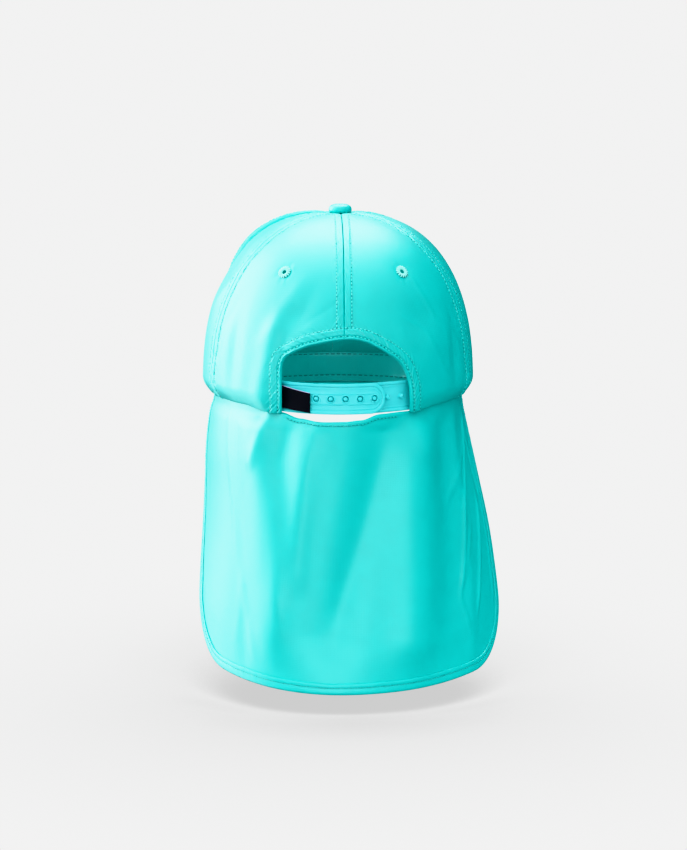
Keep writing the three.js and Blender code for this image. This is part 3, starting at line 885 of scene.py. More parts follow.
@dataclass(frozen=True)
class Seam:
    """Where a seam meets the lower edge and the top, in degrees from the rear centre."""

    low: float
    top: float

    def at(self, climb: Points) -> Points:
        """The seam's angle where the crown has climbed this far."""
        return lerp(self.low, self.top, np.sin(climb) ** 2)


REAR_SEAM, SIDE_SEAM, FRONT_SEAM = Seam(0, 0), Seam(69, 60), Seam(180, 180)
LEFT_TEMPLE, RIGHT_TEMPLE = Seam(118, 107), Seam(122, 120)


@dataclass(frozen=True)
class Gore:
    """One of the crown's cut panels."""

    name: str
    side: Side
    start: Seam
    stop: Seam
    swell: float
    lead: float = 1.0

    def middle(self, climb: Points) -> Points:
        """The angle half way between its seams."""
        return (self.start.at(climb) + self.stop.at(climb)) / 2

    @property
    def node(self) -> str:
        """The CAD node that it stands for."""
        return f"crown_panel_{self.name}_{self.side.name.lower()}"


GORES = (
    Gore("rear", Side.LEFT, REAR_SEAM, SIDE_SEAM, 1.3),
    Gore("side", Side.LEFT, SIDE_SEAM, LEFT_TEMPLE, 0.9),
    Gore("front", Side.LEFT, LEFT_TEMPLE, FRONT_SEAM, 6.5, 0.38),
    Gore("rear", Side.RIGHT, REAR_SEAM, SIDE_SEAM, 1.3),
    Gore("side", Side.RIGHT, SIDE_SEAM, RIGHT_TEMPLE, 0.9),
    Gore("front", Side.RIGHT, RIGHT_TEMPLE, FRONT_SEAM, 3.0, 0.7),
)
REAR_GORES = {Side.LEFT: GORES[0], Side.RIGHT: GORES[3]}
# The lower edge: degrees round, level
RIM_LEVELS = np.array([(0, -3.4), (30, -3.4), (49, -0.3), (70, 0.9), (100, 0.5), (130, -4.8), (180, -5.0)])
# Broad dents: degrees round, level, how far each spreads round and up, and its depth
CROWN_DENTS = (
    (22, 60, 16, 8, 1.6),
    (52, 34, 7, 26, 1.8),
    (88, 88, 24, 16, 3.2),
    (138, 117, 34, 8, 6.5),
    (-36, 58, 18, 12, 1.8),
    (-56, 30, 6, 22, 1.4),
    (-100, 60, 12, 18, 1.4),
)


@dataclass(frozen=True)
class CrownForm:
    """The crown's shape as the CAD has it, in millimetres."""

    half_width: float = 94.2
    rear_depth: float = 100.5
    front_depth: float = 98.0
    height: float = 124.5
    lean: float = -1.6
    tip_radius: float = 3.0
    tuck_level: float = 12.0
    tuck_side: float = 6.7
    tuck_ends: float = 1.6
    droop: float = 35.0
    square_rear: float = 2.3
    square_side: float = 2.45
    square_front: float = 2.75

    def power(self, degrees: Points) -> Points:
        """The outline's power at an angle."""
        facing = np.cos(np.radians(degrees))
        end = np.where(facing > 0, self.square_rear, self.square_front)
        return 2 / lerp(self.square_side, end, np.abs(facing))

    def rim_level(self, degrees: Points) -> Points:
        """The lower edge's level at an angle."""
        return eased_table(RIM_LEVELS, np.abs(degrees))

    def dent(self, degrees: Points, level: Points) -> Points:
        """How far the broad dents push the crown in."""
        total = np.zeros_like(level)
        for around, up, spread_round, spread_up, depth in CROWN_DENTS:
            aside = np.radians(degrees - around) * self.half_width
            total = total + depth * bell(aside, spread_round) * bell(level - up, spread_up)
        return total

    def point(self, gore: Gore, degrees: Points, climb: Points) -> Points:
        """The outer face of a panel.

        Args:
            gore: The panel.
            degrees: Angle round the cap, with the side's sign.
            climb: From 0 at the lower edge to a right angle at the top.

        Returns:
            Points in millimetres.
        """
        power = self.power(degrees)
        facing, turning = np.cos(np.radians(degrees)), np.sin(np.radians(degrees))
        level = self.height * np.sin(climb) ** power
        shrink = np.maximum(np.cos(climb), 0) ** power
        start, stop = gore.start.at(climb), gore.stop.at(climb)
        across = np.clip((np.abs(degrees) - start) / (stop - start), 0, 1)
        swell = gore.swell * np.sin(np.pi * across**gore.lead) * np.maximum(np.sin(2 * climb), 0) ** 1.2
        turn_in = np.maximum(1 - level / self.tuck_level, 0) ** 2
        depth = np.where(facing > 0, self.rear_depth, self.front_depth)
        x = (self.half_width * shrink - self.tuck_side * turn_in) * turning
        y = (depth * shrink - self.tuck_ends * turn_in) * facing
        z = level + self.rim_level(degrees) * np.maximum(1 - level / self.droop, 0) ** 2
        outward = unit(np.stack([x, y, np.zeros_like(x)], axis=-1))
        steep = np.broadcast_to(np.sin(climb), x.shape)
        lift = unit(np.stack([outward[..., 0] * shrink, outward[..., 1] * shrink, steep], axis=-1))
        place = np.stack([x + self.lean * (level / self.height) ** 2, y, z], axis=-1)
        return place + lift * swell[..., None] - outward * self.dent(degrees, level)[..., None]

    def top_climb(self, degrees: float) -> float:
        """How far the panels climb before they stop under the button."""
        return math.acos((self.tip_radius / self.half_width) ** (1 / float(self.power(np.array(degrees)))))

    def climb_to(self, degrees: Points, level: Points) -> Points:
        """The climb at which the crown reaches a level."""
        return np.arcsin((level / self.height) ** (1 / self.power(degrees)))

    def middle_run(self, gore: Gore, climbs: Points) -> Points:
        """How far up a panel's middle each climb is."""
        return run_lengths(self.point(gore, gore.side.value * gore.middle(climbs), climbs))

    def seam_line(self, gore: Gore, seam: Seam, from_climb: float = 0.0, count: int = 150) -> Points:
        """A seam as a line of points on one of its panels."""
        climb = np.linspace(from_climb, self.top_climb(seam.low), count)
        return self.point(gore, gore.side.value * seam.at(climb), climb)


# How much closer the rows and columns of a panel's grid lie near its edges
ROW_CROWDING = 0.45
COLUMN_CROWDING = 0.72
# The opening's outline from the rear, as x and z, from its left foot over the top to its right foot
ARCH_POINTS = np.array(
    [
        (41.6, -4), (41.6, 10), (41.5, 22), (41.0, 29.6), (38.9, 34.3), (35.0, 37.0),
        (24.3, 41.9), (14.0, 44.4), (6.2, 45.8), (0, 46.5), (-5.8, 46.5), (-11.5, 45.6), (-17.7, 43.4),
        (-28.4, 37.4), (-37.4, 30.4), (-41.6, 23.1), (-44.0, 15.1), (-44.7, 6), (-44.9, -4),
    ]
)


@dataclass(frozen=True)
class Opening:
    """The arched opening over the strap, as its outline seen from the rear."""

    crest: int = 9  # the outline's point on the rear seam
    foot_angle: float = 29.3  # about where its feet stand, in degrees round
    first_radius: float = 92.0  # the crown's rough radius there, to start the search from
    searches: int = 14

    def outline(self, side: Side, foot: float, steps: int = 24) -> Points:
        """Half of the outline, from its foot on the lower edge to its top, as x and z."""
        points = ARCH_POINTS
        runs = run_lengths(points)
        numbers = np.arange(len(points))
        before, after = np.maximum(numbers - 1, 0), np.minimum(numbers + 1, len(points) - 1)
        slopes = (points[after] - points[before]) / (runs[after] - runs[before])[:, None]
        share = np.linspace(0, 1, steps, endpoint=False)[None, :, None]
        span = np.diff(runs)[:, None, None]
        ends, end_slopes = (points[:-1, None], points[1:, None]), (slopes[:-1, None], slopes[1:, None])
        curve = hermite(ends, end_slopes, span, share)
        line = np.concatenate([curve.reshape(-1, 2), points[-1:]])
        half = line[: self.crest * steps + 1] if side is Side.LEFT else line[self.crest * steps :][::-1]
        return np.concatenate([[[half[0, 0], foot]], half[half[:, 1] > foot]])

    def on_crown(self, form: CrownForm, gore: Gore, count: int) -> Points:
        """The outline's angle and climb on a panel, at places spaced like the rows of its grid.

        Args:
            form: The crown.
            gore: The rear panel on that side.
            count: The number of places.

        Returns:
            Rows of signed degrees and climb, from the foot to the top.
        """
        outline = self.outline(gore.side, float(form.rim_level(np.array(self.foot_angle))))
        degrees = np.degrees(np.arcsin(np.clip(outline[:, 0] / self.first_radius, -1, 1)))
        climb = form.climb_to(degrees, np.maximum(outline[:, 1] + 3, 0.01))
        turned, climbed = 0.05, 0.001  # small steps, to measure how the surface runs
        for _ in range(self.searches):
            here = form.point(gore, degrees, climb)
            aside = (form.point(gore, degrees + turned, climb) - here) / turned
            above = (form.point(gore, degrees, climb + climbed) - here) / climbed
            miss = outline - here[:, [0, 2]]
            scale = aside[:, 0] * above[:, 2] - aside[:, 2] * above[:, 0]
            degrees = degrees + (miss[:, 0] * above[:, 2] - miss[:, 1] * above[:, 0]) / scale
            climb = np.clip(climb + (miss[:, 1] * aside[:, 0] - miss[:, 0] * aside[:, 2]) / scale, 0, 1.4)
        climb[0] = 0
        lengths = run_lengths(form.point(gore, degrees, climb))
        marks = stretched(count - 1, ROW_CROWDING) * lengths[-1]
        return read_rows(np.stack([degrees, climb], axis=1), lengths, marks)


@dataclass
class PanelCloth:
    """One panel's cloth as grids of values, rows up and columns round."""

    base: Points
    normals: Points
    outer: Points
    inner: Points
    flat: Points
    seam_start: Points
    seam_stop: Points
    arch: Points
    rows_from: dict[str, Edge]


SEAM_EDGE = StitchedEdge(
    rows=(4.9,), roll=0.8, depth=0.6, band=0.5, groove=0.5, pucker=0.3, wave=3.3, slant=1.5, seed=3
)
ARCH_EDGE = StitchedEdge(
    rows=(2.4, 7.8), roll=1.0, depth=0.85, band=0.75, groove=0.8, pucker=0.26, wave=3.1, slant=1.3, seed=8
)
RIM_EDGE = StitchedEdge(rows=(3.0,), roll=1.3, depth=0.8, band=0.1, groove=0.0, pucker=0.06, wave=9.0, seed=5)
# Finer creases on the crown, in millimetres round (at the crown's half width) and up: start, end, spread,
# height and fade
CROWN_CREASES = as_creases(
    (50, 52, 60, 6, 8.0, 1.9, 12),
    (44, 44, 47, 4, 5.0, -0.9, 12),
    (38, 78, 58, 46, 5.5, 0.5, 10),
    (26, 72, 44, 40, 6.0, -0.6, 10),
    (12, 66, 26, 58, 2.0, -0.25, 6),
    (-44, 60, -58, 52, 1.4, 0.3, 4),
    (-60, 84, -72, 62, 2.2, 0.35, 7),
    (-42, 50, -50, 42, 2.4, 0.35, 5),
    (-30, 62, -52, 40, 6.0, -0.5, 10),
    (-66, 44, -78, 22, 3.0, 0.4, 8),
    (96, 60, 112, 30, 5.0, -0.6, 12),
    (104, 90, 128, 70, 5.0, 0.5, 12),
    (-104, 84, -126, 60, 5.0, 0.5, 12),
    (-98, 50, -110, 24, 4.0, -0.5, 12),
    (180, 60, 214, 40, 7.0, -0.7, 16),
    (-180, 70, -216, 52, 7.0, -0.6, 16),
)


@dataclass
class Crown:
    """The six panels, their topstitching, the air holes and the button."""

    form: CrownForm
    opening: Opening
    finishes: Wardrobe
    thickness: float = 1.25
    seam_tape: float = 0.5
    stitch_pitch: float = 2.65
    arched_steps: tuple[int, int] = (112, 196)  # across and up a rear panel's grid
    plain_steps: tuple[int, int] = (62, 118)
    tape_reach: float = 6.2  # how far the tape behind a seam reaches to either side
    facing_reach: float = 8.4
    eyelet_around: float = 32.0
    eyelet_level: float = 88.0
    eyelet_hole: float = 2.3
    eyelet_strands: int = 15
    eyelet_radii: tuple[float, float] = (2.9, 1.3)  # of the ring, and of its strand of thread
    button_radius: float = 7.9
    button_height: float = 7.1
    button_seat: float = 1.6  # how far the button pulls the cloth down
    button_pull: float = 11.0  # how far from the top that shows
    clear_of_button: float = 9.5  # where the topstitching ends

    def arch_line(self) -> Points:
        """The opening's whole edge, from its left foot over the top to its right foot."""
        places = [(gore, self.opening.on_crown(self.form, gore, 130)) for gore in REAR_GORES.values()]
        left, right = [self.form.point(gore, place[:, 0], place[:, 1]) for gore, place in places]
        return np.concatenate([left, right[::-1][1:]])

    def plain_grid(self, gore: Gore, columns: int, rows: int) -> tuple[Points, Points]:
        """Angles and climbs of a panel with no opening, as grids."""
        climbs = np.linspace(0, self.form.top_climb(gore.start.low), 400)
        lengths = self.form.middle_run(gore, climbs)
        climb = np.interp(np.linspace(0, 1, rows + 1) ** 1.25 * lengths[-1], lengths, climbs)[:, None]
        hair = 0.0004
        across = (hair + (1 - 2 * hair) * stretched(columns, COLUMN_CROWDING))[None]
        degrees = gore.side.value * lerp(gore.start.at(climb), gore.stop.at(climb), across)
        return degrees, np.broadcast_to(climb, degrees.shape)

    def arched_grid(self, gore: Gore, columns: int, rows: int) -> tuple[Points, Points]:
        """Angles and climbs of a rear panel, whose first column follows the opening.

        Its last row runs up the rear seam, and its last column up the side seam.
        """
        arch = self.opening.on_crown(self.form, gore, rows + 1)
        top = self.form.top_climb(0)
        climbs = np.linspace(0, top, 400)
        seam = np.stack([gore.side.value * gore.stop.at(climbs), climbs], axis=1)
        lengths = run_lengths(self.form.point(gore, seam[:, 0], seam[:, 1]))
        last = read_rows(seam, lengths, stretched(rows, ROW_CROWDING) * lengths[-1])
        share = np.linspace(0, 1, 260)
        rim = np.stack([lerp(arch[0, 0], last[0, 0], share), 0 * share], axis=1)
        rise = np.linspace(arch[-1, 1], top, 300)
        crest = np.concatenate([np.stack([np.zeros(300), rise], axis=1), [[last[-1, 0], top]]])
        crest_run = run_lengths(self.form.point(gore, crest[:, 0], crest[:, 1]))
        crest = read_rows(crest, crest_run, share * crest_run[-1])
        u, v = share[None, :, None], np.linspace(0, 1, rows + 1)[:, None, None]
        blend = (
            lerp(arch[:, None], last[:, None], u)
            + lerp(rim[None], crest[None], v)
            - lerp(lerp(arch[0], last[0], u), lerp(arch[-1], last[-1], u), v)
        )
        fine = self.form.point(gore, blend[..., 0], blend[..., 1])
        shares = stretched(columns, COLUMN_CROWDING)
        grid = []
        for values, points in zip(blend, fine):
            run = run_lengths(points)
            grid.append(read_rows(values, run, shares * run[-1]))
        return np.array(grid)[..., 0], np.array(grid)[..., 1]

    def flat_cloth(self, gore: Gore, degrees: Points, climb: Points, base: Points) -> Points:
        """Where points lie on the flat cloth: across from the panel's middle, and up its middle."""
        climbs = np.linspace(0, 1.6, 300)
        lengths = self.form.middle_run(gore, climbs)
        lean = self.form.lean * (base[..., 2] / self.form.height) ** 2
        radius = np.hypot(base[..., 0] - lean, base[..., 1])
        across = np.radians(np.abs(degrees) - gore.middle(climb)) * radius * gore.side.value
        return np.stack([across, np.interp(climb, climbs, lengths)], axis=-1)

    def eyelet_place(self, side: Side) -> tuple[Points, Points]:
        """The middle of an air hole on the panel's outer face, and the normal there."""
        gore = REAR_GORES[side]
        around = np.array(side.value * self.eyelet_around)
        climb = self.form.climb_to(around, np.array(self.eyelet_level))
        here = self.form.point(gore, around, climb)
        aside = self.form.point(gore, around + 0.1, climb) - here
        above = self.form.point(gore, around, climb + 0.002) - here
        return here, unit(np.cross(above, aside))

    def cloth(self, gore: Gore, arch: Points) -> PanelCloth:
        """Works out a panel's faces.

        Args:
            gore: The panel.
            arch: The opening's whole edge.

        Returns:
            Its grids.
        """
        rear = gore.name == "rear"
        if rear:
            degrees, climb = self.arched_grid(gore, *self.arched_steps)
        else:
            degrees, climb = self.plain_grid(gore, *self.plain_steps)
        base = self.form.point(gore, degrees, climb)
        normals = grid_normals(base, base - np.array([0, 0, 20.0]))
        begin = float(climb[-1, 0]) if rear else 0.0
        start, start_along = nearest(base, self.form.seam_line(gore, gore.start, begin))
        stop, stop_along = nearest(base, self.form.seam_line(gore, gore.stop))
        rim_turn = np.linspace(gore.start.low, gore.stop.low, 90)
        rim, rim_along = nearest(base, self.form.point(gore, gore.side.value * rim_turn, np.zeros(90)))
        arch_gap, arch_along = nearest(base, arch) if rear else (np.full(base.shape[:2], 99.0), start_along)
        presence = ease(arch_gap, 6.6, 9.2)
        low = ease(rim, 0.0, 2.5)
        lift = SEAM_EDGE.lift(start, start_along, presence * low) + SEAM_EDGE.lift(stop, stop_along, low)
        lift = lift + RIM_EDGE.lift(rim, rim_along)
        if rear:
            lift = lift + ARCH_EDGE.lift(arch_gap, arch_along)
            centre, _ = self.eyelet_place(gore.side)
            away = np.linalg.norm(base - centre, axis=-1)
            turn = np.arctan2(base[..., 2] - centre[2], base[..., 0] - centre[0])
            gathers = 0.14 * np.cos(9 * turn + 1) * bell(away - 6.5, 2.5)
            lift = lift + gathers - 0.3 * bell(away - 4.9, 0.8) - 0.35 * bell(away, 9)
        around = np.radians(degrees) * self.form.half_width
        for crease in CROWN_CREASES:
            lift = lift + crease.lift(around, base[..., 2])
        lift = np.maximum(lift, -self.thickness + 0.12)
        tape = 1 - ease(np.minimum(start, stop), self.tape_reach, self.tape_reach + 0.8)
        facing = 1 - ease(arch_gap, self.facing_reach, self.facing_reach + 0.8)
        inside = self.thickness + self.seam_tape * np.maximum(tape, facing)
        pulled = self.button_seat * bell(np.linalg.norm(base - self.tip(), axis=-1), self.button_pull)
        outer = base + normals * (lift - pulled)[..., None]
        inner = base - normals * (inside + pulled)[..., None]
        first = Edge.LAST_ROW if rear else Edge.FIRST_COLUMN
        edges = {"start": first, "stop": Edge.LAST_COLUMN, "arch": Edge.FIRST_COLUMN}
        flat = self.flat_cloth(gore, degrees, climb, base)
        return PanelCloth(base, normals, outer, inner, flat, start, stop, arch_gap, edges)

    def tip(self) -> Points:
        """The crown's top, where the panels meet."""
        return np.array([self.form.lean, 0, self.form.height])

    def stitch_lines(self, cloth: PanelCloth, rear: bool) -> list[tuple[Points, Points]]:
        """The rows of topstitching on a panel, as lines with normals."""
        lines = []
        from_tip = np.linalg.norm(cloth.base - self.tip(), axis=-1)
        for field, name in ((cloth.seam_start, "start"), (cloth.seam_stop, "stop")):
            row = contour_from(field, SEAM_EDGE.rows[0], cloth.rows_from[name])
            row = row.only(row.read(from_tip) > self.clear_of_button)
            row = row.only(row.read(cloth.arch) > ARCH_EDGE.rows[1] + 0.4)
            lines.append(row.laid_on(cloth.outer, cloth.normals))
        for distance in ARCH_EDGE.rows if rear else ():
            row = contour_from(cloth.arch, distance, cloth.rows_from["arch"])
            lines.append(row.laid_on(cloth.outer, cloth.normals))
        return lines

    def sew_panels(self) -> None:
        """Builds and dresses the six panels with their topstitching."""
        arch = self.arch_line()
        for gore in GORES:
            rear = gore.name == "rear"
            cloth = self.cloth(gore, arch)
            holes = [(self.eyelet_place(gore.side)[0], self.eyelet_hole)] if rear else []
            place = f"{gore.name}_{gore.side.name.lower()}"
            panel = cloth_wall(f"panel_{place}", cloth.outer, cloth.inner, cloth.flat, holes)
            # The front panels' finish is a darker copy of the crown cloth, as painted shade
            cloth_finish = self.finishes.front if gore.name == "front" else self.finishes.crown
            dress(panel, cloth_finish, "crown_cloth", gore.node)
            lines = self.stitch_lines(cloth, rear)
            threads = Needle().lay(f"topstitching_{place}", lines, self.stitch_pitch)
            dress(threads, self.finishes.thread, "eyelet_thread")

    def embroider_eyelets(self) -> None:
        """Makes the satin-stitched rings round the air holes."""
        strands, (major, minor) = self.eyelet_strands, self.eyelet_radii
        for side in Side:
            deselect_all()
            bpy.ops.mesh.primitive_torus_add(
                major_segments=strands * 8, minor_segments=14, major_radius=major, minor_radius=minor
            )
            ring = bpy.context.active_object
            ring.name = ring.data.name = f"eyelet_stitching_{side.name.lower()}"
            places = read_places(ring)
            turn, radius = np.arctan2(places[:, 1], places[:, 0]), np.hypot(places[:, 0], places[:, 1])
            share = (radius - (major - minor)) / (2 * minor)
            strand = np.abs(np.cos(turn * strands / 2 + 0.6 * share))
            swell = 0.55 + 0.35 * strand
            height = places[:, 2] * swell * (1 - 0.25 * share)
            reach = radius + 0.4 * strand * ease(radius, 3.0, 4.2)
            around = turn + 0.012 * np.sin(7 * turn)
            local = np.stack([reach * np.cos(around), reach * np.sin(around), height - 0.1], axis=1)
            centre, normal = self.eyelet_place(side)
            aside = unit(np.cross([0, 0, 1.0], normal))
            above = np.cross(normal, aside)
            write_places(ring, (centre + local @ np.stack([aside, above, normal])) * MM)
            # Painted shade between the strands, towards the ring's outer edge
            write_thread_shade(ring, ease(1 - strand, 0.1, 0.6) * ease(radius, 2.7, 3.5))
            face_outwards(ring)
            shade_soft(ring, 80)
            dress(ring, self.finishes.pale_thread, "eyelet_thread", f"eyelet_rear_{side.name.lower()}")

    def cover_button(self) -> None:
        """Makes the cloth-covered button, with the gathers of its cloth round its lower edge."""
        deselect_all()
        bpy.ops.mesh.primitive_uv_sphere_add(segments=96, ring_count=40, radius=1)
        button = bpy.context.active_object
        button.name = button.data.name = "covered_button"
        places = read_places(button)
        turn, flat = np.arctan2(places[:, 1], places[:, 0]), np.hypot(places[:, 0], places[:, 1])
        up = np.clip(places[:, 2], -1, 1)
        reach = np.clip(flat, 0, 1) ** 0.62
        rise = np.sign(up) * np.abs(up) ** 0.85
        gathers = 1 - 0.012 * (1 + np.cos(22 * turn + 1.5 * np.sin(3 * turn))) * ease(-rise, -0.1, 0.5)
        level = 0.42 + np.where(rise > 0, 0.58, 0.42) * rise
        level = level * self.button_height - self.button_seat
        away = self.button_radius * reach * gathers
        local = np.stack([away * np.cos(turn), away * np.sin(turn), level], axis=1)
        write_places(button, (local + self.tip() + np.array([0, 0, 0.5])) * MM)
        write_weave(button, local[:, :2] * MM)
        shade_soft(button, 70)
        dress(button, self.finishes.crown, "button_cloth", "top_button")

    def build(self) -> None:
        """Builds everything on the crown."""
        self.sew_panels()
        self.embroider_eyelets()
        self.cover_button()


# Inside the lower edge


@dataclass
class Sweatband:
    """The band inside the crown's lower edge."""

    form: CrownForm
    finishes: Wardrobe
    inset: float = 3.7
    thickness: float = 1.5
    low: float = 0.3
    high: float = 21.6
    end_angle: float = 41.5
    rows: tuple[float, float] = (4.8, 20.4)
    stitch_pitch: float = 4.1
    stitch_share: float = 0.72
    mean_radius: float = 90.0

    def face(self, degrees: Points, up: Points, inset: Points) -> Points:
        """Points of the band: degrees round, height over the lower edge and distance in."""
        short = np.minimum(degrees, 360 - degrees)
        facing, turning = np.cos(np.radians(degrees)), np.sin(np.radians(degrees))
        end = np.where(facing > 0, self.form.rear_depth, self.form.front_depth)
        x = (self.form.half_width - self.form.tuck_side - inset) * turning
        y = (end - self.form.tuck_ends - inset) * facing
        return np.stack([x, y, self.form.rim_level(short) + up], axis=-1)

    def build(self) -> None:
        """Builds the band and its two rows of stitches."""
        degrees = lerp(self.end_angle, 360 - self.end_angle, stretched(320, 0.3))[None, :]
        share = stretched(34, 0.6)[:, None]
        up = lerp(self.low, self.high, share) + 0 * degrees
        degrees = degrees + 0 * up
        along = np.radians(degrees) * self.mean_radius
        fold = np.minimum(up - self.low, self.high - up)
        rounded = 0.5 * (1 - ease(fold, 0, 0.9))
        grooves = sum(0.3 * bell(up - row, 0.6) for row in self.rows)
        ripple = 0.14 * wander(along, 13.0, 21) * ease(fold, 0.4, 3)
        ripple = ripple + 0.1 * wander(along, 5.0, 4) * bell(fold, 3)
        near = self.inset + self.thickness - rounded - grooves + ripple
        far = self.inset + rounded
        inner = self.face(degrees, up, near)
        outer = self.face(degrees, up, far)
        flat = np.stack([along, up], axis=-1)
        band = cloth_wall("sweatband_cloth", inner, outer, flat)
        dress(band, self.finishes.sweatband, "sweatband_cloth", "sweatband")
        normals = grid_normals(inner, -inner * np.array([1, 1, 0]))
        lines = [contour_from(up, row, Edge.FIRST_ROW).laid_on(inner, normals) for row in self.rows]
        threads = Needle(radius=0.3).lay("sweatband_stitching", lines, self.stitch_pitch, self.stitch_share)
        dress(threads, self.finishes.inner_thread, "eyelet_thread")


# The peak


@dataclass
class Peak:
    """The curved peak: two faces of cloth over a stiffener, joined at a stitched edge."""

    form: CrownForm
    finishes: Wardrobe
    length: float = 70.0
    thickness: float = 3.2
    spread: float = 62.0
    inset: float = 2.7
    fall: float = 10.0
    side_droop: float = 17.0
    gap: float = 0.3
    rows: tuple[float, ...] = (5.0, 13.0, 21.0, 29.0, 37.0)
    stitch_pitch: float = 3.2
    steps: tuple[int, int] = (150, 91)

    def top_face(self, across: Points, outward: Points) -> Points:
        """The top face, from 0 to 1 across and from the crown out to the free edge."""
        share = np.abs(lerp(-1, 1, across))
        turn = lerp(-self.spread, self.spread, across)
        angle = np.radians(180 - turn)
        x0 = (self.form.half_width - self.form.tuck_side - self.inset) * np.sin(angle)
        y0 = (self.form.front_depth - self.form.tuck_ends - self.inset) * np.cos(angle)
        z0 = self.form.rim_level(180 - self.spread * share) - self.gap
        length = (self.length + self.inset) * (1 - share**2.6) ** 0.75 + self.inset
        aside = unit(np.stack([0.62 * np.sin(np.radians(turn)), -np.ones_like(turn)], axis=-1))
        run = length * outward
        x, y = x0 + aside[..., 0] * run, y0 + aside[..., 1] * run
        clear = np.maximum(run - self.inset, 0)
        z = z0 - clear * math.tan(math.radians(self.fall))
        droop = self.side_droop * (x / self.form.half_width) ** 2 * (1 - (1 - outward) ** 1.6)
        return np.stack([x, y, z - droop * np.minimum(clear / 12, 1)], axis=-1)

    def build(self) -> None:
        """Builds the peak and its rows of topstitching."""
        across = (stretched(self.steps[0], 0.35) * 0.998 + 0.001)[None, :]
        outward = (np.linspace(0, 1, self.steps[1]) ** 0.9)[:, None]
        across, outward = across + 0 * outward, outward + 0 * across
        top = self.top_face(across, outward)
        edge_line = self.top_face(np.linspace(0.001, 0.999, 240), np.ones(240))
        edge, along = nearest(top, edge_line)
        normals = grid_normals(top, np.broadcast_to([0, 0, 1.0], top.shape))
        lip = 0.3 * bell(edge - 1.6, 1.1)
        grooves = sum(0.28 * bell(edge - row, 0.55) for row in self.rows)
        ripple = 0.05 * wander(along, 7.0, 11) * bell(edge, 8)
        rise = lip + ripple - grooves - rounded_off(edge, 1.7, 1.45)
        upper = top + normals * rise[..., None]
        lower = top - normals * (self.thickness + rise)[..., None]
        peak = cloth_wall("curved_peak", upper, lower, top[..., :2])
        dress(peak, self.finishes.trim, "peak_cloth", "peak")
        lines = []
        for row in self.rows:
            line = contour_from(edge, row, Edge.LAST_ROW)
            line = line.only(line.read(outward) * self.length > 3)
            lines += [line.laid_on(upper, normals), line.laid_on(lower, -normals)]
        threads = Needle().lay("peak_stitching", lines, self.stitch_pitch)
        dress(threads, self.finishes.thread, "eyelet_thread")


# The snap strap and its label


@dataclass(frozen=True)
class StrapForm:
    """The arcs that the strap's halves lie on, as the CAD has them."""

    radius: float = 76.0
    centre_y: float = 100.5 - 1.6 - 2.6 - 76.0
    low: float = -1.5
    width: float = 20.2
    sag: float = 1.3
    thickness: float = 1.5
    pitch: float = 9.8
    middle: float = 1.0
    tucked_end: float = 53.0
    beyond_hole: float = 7.7
    gap: float = 0.3

    def point(self, along: Points, height: Points, out: Points) -> Points:
        """A place on the strap: distance along to the right, level, and distance out."""
        angle, radius = along / self.radius, self.radius + out
        sag = self.sag * np.maximum(1 - (along / self.tucked_end) ** 2, 0)
        x, y = -radius * np.sin(angle), self.centre_y + radius * np.cos(angle)
        return np.stack([x, y, height - sag], axis=-1)

    def snaps(self, numbers: tuple[int, int]) -> list[float]:
        """How far along the snaps from one number to another are."""
        return [self.middle + number * self.pitch for number in range(numbers[0], numbers[1] + 1)]

    @property
    def centre_level(self) -> float:
        """The level of its middle line, before it sags."""
        return self.low + self.width / 2


